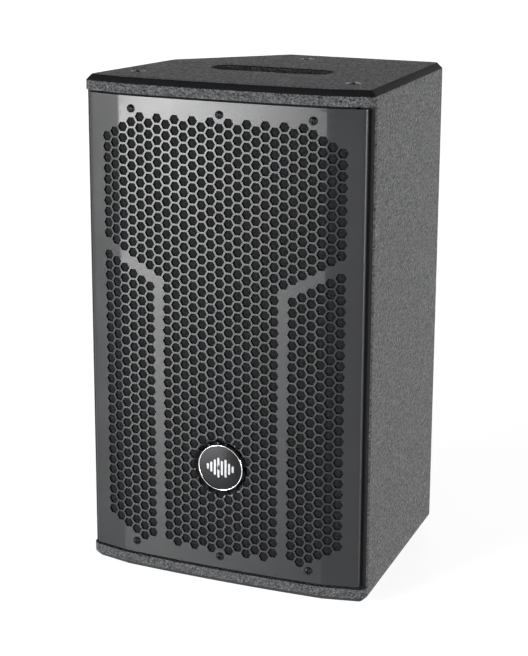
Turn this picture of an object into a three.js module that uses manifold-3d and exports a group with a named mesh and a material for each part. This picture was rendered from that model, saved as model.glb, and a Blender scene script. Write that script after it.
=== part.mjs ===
// Passive two-way loudspeaker cabinet for sound reinforcement, 8 inch woofer and horn.
// Asymmetric plan: the left side tapers and a monitor face lets the box lie down as a floor wedge.
// Millimetres, +Z up, front faces -Y. Design frame: x = 0 is the middle of the grille,
// y = 0 is the front of the grille, z = 0 is the floor under the feet.
import * as THREE from 'three';
import { mergeVertices } from 'three/addons/utils/BufferGeometryUtils.js';
import Module from 'manifold-3d';

const wasm = await Module();
wasm.setup();

// ---- Driving dimensions -------------------------------------------------------------------
const FOOT_H = 5;                      // rubber feet
const BOX_H = 436;                     // wooden box, without feet
const HALF_W = 129;                    // half the width of the front
const DEPTH = 210;                     // grille front to rear face
const PLY = 13;                        // painted birch plywood
const GAP = 0.3;                       // clearance between touching pieces
const EDGE_CUT = 5;                    // 45 degree chamfer round the top and bottom panels
const CORNER_R = 8;                    // plan radius of the outer corners
const BEND_R = 7;                      // plan radius at the two ends of the monitor face
const SIDE_FRONT_Y = 14.5;             // front ends of the side panels
const MONITOR_ANGLE = THREE.MathUtils.degToRad(43);
const LEFT_BEND = [-104.5, 130];       // left side meets the monitor face
const LIP = 1;                         // the lips stand this far in front of the grille

const ARC_R = 1700;                    // grille centre bends to this radius
const CREASE_X = 92;                   // where the grille wings start
const WING_SLOPE = Math.tan(THREE.MathUtils.degToRad(12));

const PITCH = 9.3;                     // pitch of the real hexagonal perforation
const COARSE = 4;                      // this model opens one hole for a block of 4 x 4
const HEX_FLATS = 31;                  // across the flats of a coarse hole
const SHEET = 1.5;                     // grille steel
const GRILLE_HALF_W = 124;
const GRILLE_H = 406;
const BATTEN_HALF_W = 112;
const FLANGE_BACK_Y = 13;              // rear edge of the folded grille flanges
const FOAM = 5;
const FOAM_HALF_W = 113.5;
const GRILLE_SCREW_X = 80.5;
const GRILLE_SCREW_Z = 192.5;          // above and below the middle of the grille
const SCREW_R = 2;
const SCREW_HEAD_R = 3.6;

const BADGE_DROP = 111.6;              // badge centre below the middle of the grille
const BADGE_R = 20.5;
const DISH_R = 25.5;
const DISH_DEPTH = 5;

const BAFFLE_Y = 28;                   // front face of the baffle
const BAFFLE_T = 15;
const WOOFER_Z = 133;
const WOOFER_R = 105;
const WOOFER_HOLE_R = 93.5;
const WOOFER_SCREW_R = 99.5;           // radius of the screw circle
const COIL_R = 19.4;                   // outer radius of the voice coil
const CONE_RIM_Y = 20.7;               // front of the cone's glued rim
const CONE_STEP = 4;                   // the rim lies this far in front of the basket seat
const HORN_Z = 340;
const HORN_W = 160;
const HORN_H = 124;
const HORN_DEPTH = 73;
const THROAT_R = 12.7;
const HORN_SIDES = 16;
const PORT_X = 80;
const PORT_Z = 248;
const PORT_R = 20;
const PORT_LENGTH = 50;

const SLOT_X = 7;                      // hand slot in the top panel
const SLOT_Y = 97;
const SLOT_L = 112;
const SLOT_W = 33;
const CUP_DEPTH = 45;                  // below the top panel
const RIGGING = [[-94, 44], [99, 44], [10, 178]];
const BUSH_R = 6.5;
const FEET = [[-105, 35], [105, 35], [105, 187], [-75, 130]];
const FOOT_R = 12;
const POLE = [8, 142];
const POLE_R = 17.8;                   // takes a 35 mm stand tube
const POLE_TUBE_R = 20;
const POLE_H = 83;
const PLATE_X = 55;                    // input plate on the rear panel
const PLATE_Z = 235;
const PLATE_W = 120;
const PLATE_H = 100;
const DISH_W = 92;
const DISH_H = 72;
const PLATE_DISH = 30;
const SOCKET_X = 20;                   // each socket beside the middle of the plate
const SOCKET_R = 12;

// Worked out from the above
const MID_Z = FOOT_H + BOX_H / 2;
const TOP_Z = FOOT_H + BOX_H;
const INNER_BOTTOM = FOOT_H + PLY + GAP;
const INNER_TOP = TOP_Z - PLY - GAP;
const INNER_X = HALF_W - PLY;
const REAR_Y = DEPTH - PLY;
const MONITOR_DIR = [Math.cos(MONITOR_ANGLE), Math.sin(MONITOR_ANGLE)];
const BEND_TO_REAR = (DEPTH - LEFT_BEND[1]) / MONITOR_DIR[1];
const REAR_BEND = [LEFT_BEND[0] + BEND_TO_REAR * MONITOR_DIR[0], DEPTH];
const ROUND = 20;                      // sides of the larger round pieces
const SMALL_ROUND = 10;

// ---- Materials ----------------------------------------------------------------------------
const material = (color, roughness, metalness) =>
  new THREE.MeshStandardMaterial({ color, roughness, metalness });
const MATERIALS = {
  paint: material('#4b4c4e', 0.85, 0),
  grilleSteel: material('#5d5f62', 0.5, 0.6),
  foam: material('#252627', 0.98, 0),
  zinc: material('#a9abad', 0.35, 1),
  blackScrew: material('#1b1c1e', 0.4, 0.8),
  blackPlastic: material('#151618', 0.5, 0),
  badgeBlack: material('#0b0b0d', 0.1, 0),
  chrome: material('#d2d4d6', 0.1, 1),
  stampedSteel: material('#232426', 0.55, 0.5),
  rubber: material('#18191a', 0.9, 0),
  cloth: material('#26211d', 0.95, 0),
  cotton: material('#a27a3d', 0.9, 0),
  paper: material('#1d1e20', 0.85, 0),
  copper: material('#b4683a', 0.35, 1),
  ferrite: material('#3a3b3d', 0.7, 0.1),
  titanium: material('#8e9094', 0.3, 1),
  circuitBoard: material('#1f5a37', 0.6, 0),
  wadding: material('#8f9194', 1, 0),
  wood: material('#b48a5a', 0.8, 0),
};

// ---- Solids -------------------------------------------------------------------------------
function closed(geometry) {
  // Keeps positions only, merges shared corners and turns the faces outwards.
  const bare = geometry.clone();
  bare.deleteAttribute('normal');
  bare.deleteAttribute('uv');
  const merged = mergeVertices(bare, 1e-4);
  const position = merged.getAttribute('position');
  const kept = [];
  let volume = 0;
  const corners = [new THREE.Vector3(), new THREE.Vector3(), new THREE.Vector3()];
  const index = merged.getIndex().array;
  for (let i = 0; i < index.length; i += 3) {
    const face = [index[i], index[i + 1], index[i + 2]];
    if (face[0] === face[1] || face[1] === face[2] || face[2] === face[0]) continue;
    face.forEach((vertex, n) => corners[n].fromBufferAttribute(position, vertex));
    volume += corners[0].dot(corners[1].cross(corners[2]));
    kept.push(...face);
  }
  if (volume < 0) kept.reverse();
  merged.setIndex(kept);
  return merged;
}

function toSolid(geometry) {
  const merged = closed(geometry);
  return new wasm.Manifold(new wasm.Mesh({
    numProp: 3,
    vertProperties: new Float32Array(merged.getAttribute('position').array),
    triVerts: new Uint32Array(merged.getIndex().array),
  }));
}

function toGeometry(solid) {
  const mesh = solid.getMesh();
  const geometry = new THREE.BufferGeometry();
  geometry.setAttribute('position', new THREE.BufferAttribute(mesh.vertProperties, 3));
  geometry.setIndex(new THREE.BufferAttribute(mesh.triVerts, 1));
  return geometry;
}

function join(...geometries) {
  const solids = geometries.map(toSolid);
  return toGeometry(solids.reduce((whole, piece) => whole.add(piece)));
}

function cut(geometry, ...tools) {
  const solids = tools.map(toSolid);
  return toGeometry(solids.reduce((whole, tool) => whole.subtract(tool), toSolid(geometry)));
}

// ---- Simple shapes ------------------------------------------------------------------------
function block(x0, x1, y0, y1, z0, z1) {
  const box = new THREE.BoxGeometry(x1 - x0, y1 - y0, z1 - z0);
  return box.translate((x0 + x1) / 2, (y0 + y1) / 2, (z0 + z1) / 2);
}

function turned(profile, sides = ROUND) {
  // Revolves a closed profile of [radius, y] about the Y axis; on the axis it may stay open.
  const points = profile.map(([radius, y]) => new THREE.Vector2(radius, y));
  if (profile[0][0] > 0) points.push(points[0].clone());
  return new THREE.LatheGeometry(points, sides);
}

function upright(geometry, x, y, z) {
  // Turns a piece made about the Y axis so that its axis points up.
  return geometry.rotateX(Math.PI / 2).translate(x, y, z);
}

function rod(radius, y0, y1, x, z, sides = SMALL_ROUND) {
  return turned([[0, y0], [radius, y0], [radius, y1], [0, y1]], sides).translate(x, 0, z);
}

function post(radius, z0, z1, x, y, sides = SMALL_ROUND) {
  return upright(turned([[0, z0], [radius, z0], [radius, z1], [0, z1]], sides), x, y, 0);
}

function slab(outline, z0, z1) {
  // Plan outline of [x, y] points, extruded upwards.
  const shape = new THREE.Shape(outline.map(([x, y]) => new THREE.Vector2(x, y)));
  const extruded = new THREE.ExtrudeGeometry(shape, { depth: z1 - z0, bevelEnabled: false });
  return extruded.translate(0, 0, z0);
}

function stadium(length, width, steps = 8) {
  const half = (length - width) / 2;
  const outline = [];
  for (const side of [1, -1]) {
    for (let i = 0; i <= steps; i += 1) {
      const angle = (-side * Math.PI) / 2 + (Math.PI * i) / steps;
      outline.push([side * half + (width / 2) * Math.cos(angle), (width / 2) * Math.sin(angle)]);
    }
  }
  return outline;
}

function rounded(points, radii, steps = 3) {
  // Replaces each corner that has a radius by an arc tangent to its two sides.
  const outline = [];
  points.forEach((point, i) => {
    if (!radii[i]) {
      outline.push(point);
      return;
    }
    const corner = new THREE.Vector2(...point);
    const before = new THREE.Vector2(...points.at(i - 1)).sub(corner).normalize();
    const after = new THREE.Vector2(...points[(i + 1) % points.length]).sub(corner).normalize();
    const half = Math.acos(before.dot(after)) / 2;
    const middle = before.clone().add(after).normalize();
    const centre = corner.clone().addScaledVector(middle, radii[i] / Math.sin(half));
    const start = corner.clone().addScaledVector(before, radii[i] / Math.tan(half)).sub(centre);
    const sweep = (Math.PI - 2 * half) * Math.sign(before.cross(after)) * -1;
    for (let n = 0; n <= steps; n += 1) {
      const arm = start.clone().rotateAround(new THREE.Vector2(), (sweep * n) / steps);
      outline.push([centre.x + arm.x, centre.y + arm.y]);
    }
  });
  return outline;
}

// ---- Plan of the box ----------------------------------------------------------------------
function frontY(x) {
  // Front surface of the grille: a shallow arc, then flat wings bent back.
  const side = Math.abs(x);
  const inner = Math.min(side, CREASE_X);
  return inner ** 2 / (2 * ARC_R) + Math.max(0, side - CREASE_X) * WING_SLOPE;
}

function frontCurve(halfWidth, offset) {
  // Points along the front from left to right, moved back by offset.
  const centre = [-CREASE_X, -CREASE_X / 2, 0, CREASE_X / 2, CREASE_X];
  return [-halfWidth, ...centre, halfWidth].map((x) => [x, frontY(x) + offset]);
}

const FRONT_LEFT = [-HALF_W - 0.4, frontY(HALF_W) - LIP];
const FRONT_RIGHT = [HALF_W, frontY(HALF_W) - LIP];
const LEFT_LEAN = (LEFT_BEND[0] - FRONT_LEFT[0]) / (LEFT_BEND[1] - FRONT_LEFT[1]);
const leftX = (y) => FRONT_LEFT[0] + (y - FRONT_LEFT[1]) * LEFT_LEAN;

function panelOutline() {
  const lip = frontCurve(HALF_W, -LIP).slice(1, -1);
  const points = [FRONT_LEFT, ...lip, FRONT_RIGHT, [HALF_W, DEPTH], REAR_BEND, LEFT_BEND];
  const radii = [CORNER_R, ...lip.map(() => 0), CORNER_R, CORNER_R, BEND_R, BEND_R];
  return rounded(points, radii);
}

function insetPath(path, distance) {
  // Moves an open path to its right-hand side, mitred at the bends.
  const lines = path.slice(1).map((end, i) => {
    const start = new THREE.Vector2(...path[i]);
    const along = new THREE.Vector2(...end).sub(start).normalize();
    const side = new THREE.Vector2(along.y, -along.x);
    return { at: start.addScaledVector(side, distance), along };
  });
  const moved = [lines[0].at.toArray()];
  lines.slice(1).forEach((line, i) => {
    const previous = lines[i];
    const reach = line.at.clone().sub(previous.at).cross(line.along);
    const step = reach / previous.along.cross(line.along);
    moved.push(previous.at.clone().addScaledVector(previous.along, step).toArray());
  });
  const last = lines.at(-1);
  const length = new THREE.Vector2(...path.at(-1)).sub(new THREE.Vector2(...path.at(-2))).length();
  moved.push([last.at.x + last.along.x * length, last.at.y + last.along.y * length]);
  return moved;
}

const WALL_OUTER = [[leftX(SIDE_FRONT_Y), SIDE_FRONT_Y], LEFT_BEND, REAR_BEND, [INNER_X, DEPTH]];
const WALL_INNER = insetPath(WALL_OUTER, PLY);
const leftInnerX = (y) => leftX(y) + PLY / Math.cos(Math.atan(LEFT_LEAN)) + GAP;

function wallPanel(bay) {
  // Plywood between two mitres of the left, monitor and rear walls.
  const along = new THREE.Vector2(...WALL_OUTER[bay + 1]).sub(new THREE.Vector2(...WALL_OUTER[bay]));
  along.normalize().multiplyScalar(GAP / 2);
  const shift = ([x, y], way) => [x + way * along.x, y + way * along.y];
  const outline = [
    shift(WALL_OUTER[bay], 1), shift(WALL_OUTER[bay + 1], -1),
    shift(WALL_INNER[bay + 1], -1), shift(WALL_INNER[bay], 1),
  ];
  return slab(outline, INNER_BOTTOM, INNER_TOP);
}

// ---- The wooden box -----------------------------------------------------------------------
function roundedPanel() {
  // A panel whose two faces have chamfered edges, from z = -PLY to z = PLY; half of it is used.
  const shape = new THREE.Shape(panelOutline().map(([x, y]) => new THREE.Vector2(x, y)));
  const extruded = new THREE.ExtrudeGeometry(shape, {
    depth: 2 * PLY - 2 * EDGE_CUT, bevelThickness: EDGE_CUT, bevelSize: EDGE_CUT,
    bevelOffset: -EDGE_CUT, bevelSegments: 1,
  });
  return extruded.translate(0, 0, EDGE_CUT - PLY);
}

function topPanel() {
  const reach = 2 * DEPTH;
  const waste = block(-reach, reach, -reach, reach, -2 * PLY, 0);
  const slot = slab(stadium(SLOT_L, SLOT_W), -1, PLY + 1).translate(SLOT_X, SLOT_Y, 0);
  const bushHoles = RIGGING.map(([x, y]) => post(BUSH_R + GAP, -1, PLY + 1, x, y, 12));
  return cut(roundedPanel(), waste, slot, ...bushHoles).translate(0, 0, TOP_Z - PLY);
}

function bottomPanel() {
  const reach = 2 * DEPTH;
  const waste = block(-reach, reach, -reach, reach, 0, 2 * PLY);
  const poleHole = post(POLE_TUBE_R + GAP, -PLY - 1, 1, ...POLE, ROUND);
  return cut(roundedPanel(), waste, poleHole).translate(0, 0, FOOT_H + PLY);
}

function rightSidePanel() {
  const inner = INNER_X + GAP / 2;
  const points = [[inner, SIDE_FRONT_Y], [HALF_W, SIDE_FRONT_Y], [HALF_W, DEPTH], [inner, DEPTH]];
  return slab(rounded(points, [0, 2, CORNER_R, 0]), INNER_BOTTOM, INNER_TOP);
}

function rearPanel() {
  const x = DISH_W / 2 + 1;
  const z = DISH_H / 2 + 1;
  const opening = block(PLATE_X - x, PLATE_X + x, REAR_Y - 5, DEPTH + 5, PLATE_Z - z, PLATE_Z + z);
  return cut(wallPanel(2), opening);
}

function screwPlaces(radius) {
  return [45, 135, 225, 315].map((degrees) => {
    const angle = THREE.MathUtils.degToRad(degrees);
    return [radius * Math.cos(angle), WOOFER_Z + radius * Math.sin(angle)];
  });
}

function baffle() {
  const back = BAFFLE_Y + BAFFLE_T;
  const board = slab([
    [leftInnerX(BAFFLE_Y), BAFFLE_Y], [INNER_X - GAP, BAFFLE_Y],
    [INNER_X - GAP, back], [leftInnerX(back), back],
  ], INNER_BOTTOM + GAP, INNER_TOP - GAP);
  const y0 = BAFFLE_Y - 1;
  const y1 = back + 1;
  const hornX = HORN_W / 2 - 9;
  const hornZ = HORN_H / 2 - 9;
  return cut(
    board,
    rod(WOOFER_HOLE_R, y0, y1, 0, WOOFER_Z, ROUND),
    block(-hornX, hornX, y0, y1, HORN_Z - hornZ, HORN_Z + hornZ),
    ...[-PORT_X, PORT_X].map((x) => rod(PORT_R + GAP, y0, y1, x, PORT_Z, ROUND)),
    ...screwPlaces(WOOFER_SCREW_R).map(([x, z]) => rod(SCREW_R + GAP, y0, y1, x, z, 8)),
  );
}

function grilleBatten(z0, z1, screwZ) {
  // Strip behind the foam that the grille screws bite into.
  const front = frontCurve(BATTEN_HALF_W, SHEET + FOAM + 3 * GAP);
  const back = BAFFLE_Y - 4;
  const outline = [...front, [front.at(-1)[0], back], [front[0][0], back]];
  const holes = [-GRILLE_SCREW_X, 0, GRILLE_SCREW_X].map(
    (x) => rod(SCREW_R + GAP, -5, back + 5, x, screwZ, 8));
  return cut(slab(outline, z0, z1), ...holes);
}

// ---- Handle, rigging, pole socket and feet ------------------------------------------------
function handleCup() {
  // Moulded pocket under the hand slot, with a glued rim.
  const floorZ = TOP_Z - PLY - CUP_DEPTH;
  const rimZ = TOP_Z - PLY - GAP;
  const body = slab(stadium(SLOT_L + 6, SLOT_W + 6), floorZ, rimZ);
  const rim = slab(stadium(SLOT_L + 20, SLOT_W + 20), rimZ - 2.5, rimZ);
  const hollow = slab(stadium(SLOT_L + 2, SLOT_W + 2), floorZ + 2.5, rimZ + 1);
  return cut(join(body, rim), hollow).translate(SLOT_X, SLOT_Y, 0);
}

function riggingBush([x, y]) {
  // Threaded steel insert pressed into the panel, flush with the top and countersunk.
  const end = GAP - PLY;
  const profile = [[4.3, end], [BUSH_R, end], [BUSH_R, 0], [5.9, 0], [4.3, -2.4]];
  return upright(turned(profile, 12), x, y, TOP_Z);
}

function riggingScrew([x, y]) {
  // Countersunk screw with a hexagon socket that closes an unused insert.
  const tip = 1 - PLY;
  const profile = [[0, tip], [3.9, tip], [3.9, -2.7], [5.4, -0.4], [0, -0.4]];
  const socket = upright(turned([[0, -2.2], [2.6, -2.2], [2.6, 1], [0, 1]], 6), 0, 0, 0);
  return cut(upright(turned(profile, 12), 0, 0, 0), socket).translate(x, y, TOP_Z);
}

function poleSocket() {
  // Top-hat socket: flange under the bottom panel, tube closed at its upper end.
  const top = FOOT_H + POLE_H;
  const under = FOOT_H - GAP;
  const profile = [
    [0, top], [POLE_TUBE_R, top], [POLE_TUBE_R, under], [45, under], [45, under - 2.5],
    [POLE_R, under - 2.5], [POLE_R, top - 2], [0, top - 2],
  ];
  return upright(turned(profile), ...POLE, 0);
}

function foot([x, y]) {
  const profile = [[0, 0], [FOOT_R - 2, 0], [FOOT_R, FOOT_H - GAP], [0, FOOT_H - GAP]];
  return upright(turned(profile, 16), x, y, 0);
}

// ---- Grille -------------------------------------------------------------------------------
function hexagon(flats) {
  // Flat above and below, points to the sides.
  const radius = flats / Math.sqrt(3);
  return Array.from({ length: 6 }, (_, i) => {
    const angle = (i * Math.PI) / 3;
    return [radius * Math.cos(angle), radius * Math.sin(angle)];
  });
}

function hexHole(x, z) {
  return slab(hexagon(HEX_FLATS), -40, 5).rotateX(Math.PI / 2).translate(x, -20, z);
}

function openHole(column, row) {
  // The field of coarse holes has cut corners and stays plain round the badge.
  const x = Math.abs(column);
  const edge = Math.abs(row) + Math.max(0, x - 2) / 2;
  const nearBadge = x < 1 && Math.abs(row * COARSE * PITCH + BADGE_DROP) < DISH_R + HEX_FLATS / 2;
  return edge <= 5 && !nearBadge;
}

function grilleHoles() {
  const holes = [];
  const stepX = COARSE * PITCH * Math.sqrt(0.75);
  const stepZ = COARSE * PITCH;
  for (let column = -3; column <= 3; column += 1) {
    const shift = Math.abs(column % 2) / 2;
    for (let row = -5 + shift; row <= 5 - shift; row += 1) {
      if (openHole(column, row)) holes.push(hexHole(column * stepX, MID_Z + row * stepZ));
    }
  }
  return holes;
}

function badgeDish() {
  // Pressed pocket for the badge, open to the front.
  const back = DISH_DEPTH + SHEET;
  const profile = [
    [0, back], [DISH_R - 3, back], [DISH_R + 1.5, SHEET], [DISH_R + 1.5, 0.1],
    [DISH_R, 0.1], [DISH_R - 4, DISH_DEPTH], [0, DISH_DEPTH],
  ];
  return turned(profile).translate(0, 0, MID_Z - BADGE_DROP);
}

function grille() {
  const front = frontCurve(GRILLE_HALF_W, 0);
  const inside = frontCurve(GRILLE_HALF_W - SHEET, SHEET).reverse();
  const outline = [
    ...front, [GRILLE_HALF_W, FLANGE_BACK_Y], [GRILLE_HALF_W - SHEET, FLANGE_BACK_Y],
    ...inside, [SHEET - GRILLE_HALF_W, FLANGE_BACK_Y], [-GRILLE_HALF_W, FLANGE_BACK_Y],
  ];
  const sheet = slab(outline, MID_Z - GRILLE_H / 2, MID_Z + GRILLE_H / 2);
  const badgeHole = rod(DISH_R + 0.5, -10, 10, 0, MID_Z - BADGE_DROP, ROUND);
  const screwHoles = grilleScrewPlaces().map(([x, z]) => rod(SCREW_R + GAP, -10, 10, x, z, 8));
  return join(cut(sheet, ...grilleHoles(), badgeHole, ...screwHoles), badgeDish());
}

function grilleFoam() {
  const front = frontCurve(FOAM_HALF_W, SHEET + GAP);
  const back = frontCurve(FOAM_HALF_W, SHEET + FOAM + GAP).reverse();
  const half = GRILLE_H / 2 - 2;
  const sheet = slab([...front, ...back], MID_Z - half, MID_Z + half);
  const badgeHole = rod(DISH_R + 3, -10, 20, 0, MID_Z - BADGE_DROP, ROUND);
  const screwHoles = grilleScrewPlaces().map(([x, z]) => rod(SCREW_R + GAP, -10, 20, x, z, 8));
  return cut(sheet, badgeHole, ...screwHoles);
}

function grilleScrewPlaces() {
  return [1, -1].flatMap((row) => [-1, 0, 1].map(
    (side) => [side * GRILLE_SCREW_X, MID_Z + row * GRILLE_SCREW_Z]));
}

function woodScrew(underHead, length, x, z) {
  // Pan-head screw driven along +Y; underHead is where the head rests.
  const headY = underHead - GAP;
  const tip = underHead + length;
  const profile = [
    [0, headY - 2], [SCREW_HEAD_R - 1, headY - 2], [SCREW_HEAD_R, headY - 1],
    [SCREW_HEAD_R, headY], [SCREW_R, headY], [SCREW_R, tip - 3], [0, tip],
  ];
  return turned(profile, 8).translate(x, 0, z);
}

function badge() {
  const front = DISH_DEPTH - 3;
  return rod(BADGE_R - 1.2 - GAP, front + 0.4, DISH_DEPTH - GAP, 0, MID_Z - BADGE_DROP, ROUND);
}

function badgeRing() {
  const front = DISH_DEPTH - 3;
  const inner = BADGE_R - 1.2;
  const back = DISH_DEPTH - GAP;
  const profile = [[inner, front], [BADGE_R, front], [BADGE_R, back], [inner, back]];
  return turned(profile).translate(0, 0, MID_Z - BADGE_DROP);
}

// ---- Woofer -------------------------------------------------------------------------------
function wooferBasket() {
  const profile = [
    [89, 24.7], [WOOFER_R, 24.7], [WOOFER_R, 27.7], [92, 27.7], [60, 70], [60, 75],
    [52.5, 77], [52.5, 84], [36, 84], [36, 81.5], [49.5, 81.5], [49.5, 71.5],
    [57, 71.5], [57, 69],
  ];
  const windows = [0, 60, 120].map((degrees) => {
    const through = block(-120, 120, 38, 64, -17, 17);
    return through.rotateY(THREE.MathUtils.degToRad(degrees));
  });
  const core = turned([[0, 20], [30, 20], [30, 90], [0, 90]], 12);
  const screwHoles = screwPlaces(WOOFER_SCREW_R).map(
    ([x, z]) => rod(SCREW_R + GAP, 20, 30, x, z - WOOFER_Z, 8));
  return cut(turned(profile), ...windows, core, ...screwHoles).translate(0, 0, WOOFER_Z);
}

function wooferSurround() {
  // Half-roll of rubber between the cone's edge and the basket, which lies further back.
  const landing = [75, 95];
  const outer = [];
  const inner = [];
  for (let i = 0; i <= 4; i += 1) {
    const angle = Math.PI - (Math.PI * i) / 4;
    const seat = CONE_RIM_Y - 1.3 + CONE_STEP * (i / 4);
    outer.push([85.5 + 6 * Math.cos(angle), seat - 6 * Math.sin(angle)]);
    inner.unshift([85.5 + 5 * Math.cos(angle), seat + 1 - 6 * Math.sin(angle)]);
  }
  const seatIn = CONE_RIM_Y - 1.3;
  const seatOut = seatIn + CONE_STEP;
  const profile = [
    [landing[0], seatIn], ...outer, [landing[1], seatOut],
    [landing[1], seatOut + 1], ...inner, [landing[0], seatIn + 1],
  ];
  return turned(profile).translate(0, 0, WOOFER_Z);
}

function wooferCone() {
  const profile = [
    [75, CONE_RIM_Y], [79, CONE_RIM_Y], [79, CONE_RIM_Y + 1.4], [75, CONE_RIM_Y + 1.4],
    [19.8, 63.4], [19.8, 62],
  ];
  return turned(profile).translate(0, 0, WOOFER_Z);
}

function dustCap() {
  const profile = [
    [0, 43], [10, 44.4], [20, 48.4], [28.8, 54.9], [27.9, 55.2], [19.5, 49.3], [9.7, 45.4], [0, 44],
  ];
  return turned(profile).translate(0, 0, WOOFER_Z);
}

function wooferSpider() {
  // Corrugated cloth ring that centres the coil, dished forward to its middle.
  const inner = COIL_R + 2 * GAP;
  const rim = 56;
  const seatY = 70.2;
  const rise = (radius) => seatY - (CONE_STEP * (rim - radius)) / (rim - inner);
  const front = [];
  const back = [];
  const waves = 4;
  for (let i = 0; i <= waves; i += 1) {
    const radius = 23 + (i * 26) / waves;
    const lift = i % 2 ? -1.5 : 0;
    front.push([radius, rise(radius) + lift]);
    back.unshift([radius, rise(radius) + lift + 1]);
  }
  const profile = [
    [inner, rise(inner)], ...front, [rim, seatY], [rim, seatY + 1], ...back,
    [inner, rise(inner) + 1],
  ];
  return turned(profile).translate(0, 0, WOOFER_Z);
}

function tube(inner, outer, y0, y1, z, sides = ROUND) {
  return turned([[inner, y0], [outer, y0], [outer, y1], [inner, y1]], sides).translate(0, 0, z);
}

function wooferYoke() {
  const profile = [[0, 85], [17.6, 85], [17.6, 107.3], [50, 107.3], [50, 113.5], [0, 113.5]];
  return turned(profile).translate(0, 0, WOOFER_Z);
}

// ---- Horn and compression driver ----------------------------------------------------------
function loft(rings) {
  // Skins a closed loop of rings, each an equal list of points, into a ring-shaped solid.
  const count = rings[0].length;
  const geometry = new THREE.BufferGeometry();
  geometry.setAttribute('position', new THREE.Float32BufferAttribute(rings.flat(2), 3));
  const index = [];
  for (let r = 0; r < rings.length; r += 1) {
    const next = (r + 1) % rings.length;
    for (let i = 0; i < count; i += 1) {
      const j = (i + 1) % count;
      index.push(r * count + i, r * count + j, next * count + j);
      index.push(r * count + i, next * count + j, next * count + i);
    }
  }
  geometry.setIndex(index);
  return geometry;
}

function hornSection(along, wall) {
  // Rounded rectangle at the mouth that blends to the round throat.
  const grow = (1 - along) ** 1.6;
  const halfX = THROAT_R + wall + (HORN_W / 2 - 12 - THROAT_R) * grow;
  const halfZ = THROAT_R + wall + (HORN_H / 2 - 12 - THROAT_R) * grow;
  const power = 2 / (2 + 6 * grow);
  return Array.from({ length: HORN_SIDES }, (_, i) => {
    const angle = (2 * Math.PI * (i + 0.5)) / HORN_SIDES;
    const x = Math.sign(Math.cos(angle)) * Math.abs(Math.cos(angle)) ** power;
    const z = Math.sign(Math.sin(angle)) * Math.abs(Math.sin(angle)) ** power;
    return [halfX * x, BAFFLE_Y - 4 - GAP + HORN_DEPTH * along, HORN_Z + halfZ * z];
  });
}

function horn() {
  const stations = [0, 0.2, 0.45, 0.7, 1];
  const outside = stations.map((along) => hornSection(along, 3));
  const passage = stations.map((along) => hornSection(along, 0)).reverse();
  const x = HORN_W / 2;
  const z = HORN_H / 2;
  const y0 = BAFFLE_Y - 4 - GAP;
  const flange = block(-x, x, y0, y0 + 4, HORN_Z - z, HORN_Z + z);
  const bore = [hornSection(-0.05, 0), hornSection(0.1, 0)];
  const mouth = cut(flange, cappedLoft(bore));
  const throatFlange = tube(THROAT_R, 30, y0 + HORN_DEPTH - 5, y0 + HORN_DEPTH, HORN_Z);
  return join(loft([...outside, ...passage]), mouth, throatFlange);
}

function cappedLoft(rings) {
  // Solid plug through two rings, used as a cutting tool.
  const count = rings[0].length;
  const geometry = loft(rings);
  const index = Array.from(geometry.getIndex().array).slice(0, count * 6);
  for (let i = 1; i < count - 1; i += 1) {
    index.push(0, i + 1, i);
    index.push(count, count + i, count + i + 1);
  }
  geometry.setIndex(index);
  return geometry;
}

const DRIVER_Y = BAFFLE_Y - 4 + HORN_DEPTH;

function driverRearCover() {
  const y = DRIVER_Y + 21;
  const profile = [
    [0, y + 16], [26, y + 16], [30, y + 12], [30, y], [27, y], [27, y + 11], [24, y + 13.5],
    [0, y + 13.5],
  ];
  return turned(profile).translate(0, 0, HORN_Z);
}

function driverPole() {
  // Centre pole with the phase plug passage.
  return tube(10, 19, DRIVER_Y + 7 + GAP, DRIVER_Y + 18, HORN_Z);
}

function driverDiaphragm() {
  const y = DRIVER_Y + 22;
  const profile = [
    [0, y + 7], [8, y + 6], [14, y + 3.5], [18, y], [22, y], [22, y + 0.8],
    [18.5, y + 0.8], [14.3, y + 4.4], [8.2, y + 7], [0, y + 8],
  ];
  return turned(profile).translate(0, 0, HORN_Z);
}

// ---- Ports, crossover and input plate -----------------------------------------------------
function portTube(x) {
  const back = BAFFLE_Y + PORT_LENGTH;
  const profile = [
    [PORT_R - 2, back], [PORT_R - 2, 29], [PORT_R, 25.7], [PORT_R + 4, 25.7],
    [PORT_R + 4, BAFFLE_Y - GAP], [PORT_R, BAFFLE_Y - GAP], [PORT_R, back],
  ];
  return turned(profile).translate(x, 0, PORT_Z);
}

const BOARD_X = INNER_X - 4;

function crossoverBoard() {
  // Fixed to the right side panel on four spacers that are part of the board.
  const board = block(BOARD_X - 1.6, BOARD_X, 108, 182, 40, 145);
  const spacers = [116, 174].flatMap((y) => [48, 137].map((z) => {
    const spacer = turned([[0, -0.5], [3, -0.5], [3, 3.7], [0, 3.7]], 8);
    return spacer.rotateZ(-Math.PI / 2).translate(BOARD_X, y, z);
  }));
  return join(board, ...spacers);
}

function crossoverCoil() {
  const profile = [[8, 0], [20, 0], [20, 20], [8, 20]];
  const coil = turned(profile, 20).rotateZ(Math.PI / 2);
  return coil.translate(BOARD_X - 1.6 - GAP, 135, 68);
}

function crossoverCapacitor() {
  const can = turned([[0, 0], [9, 0], [9, 34], [0, 34]], 16).rotateZ(Math.PI / 2);
  return can.translate(BOARD_X - 1.6 - GAP, 140, 118);
}

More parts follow.
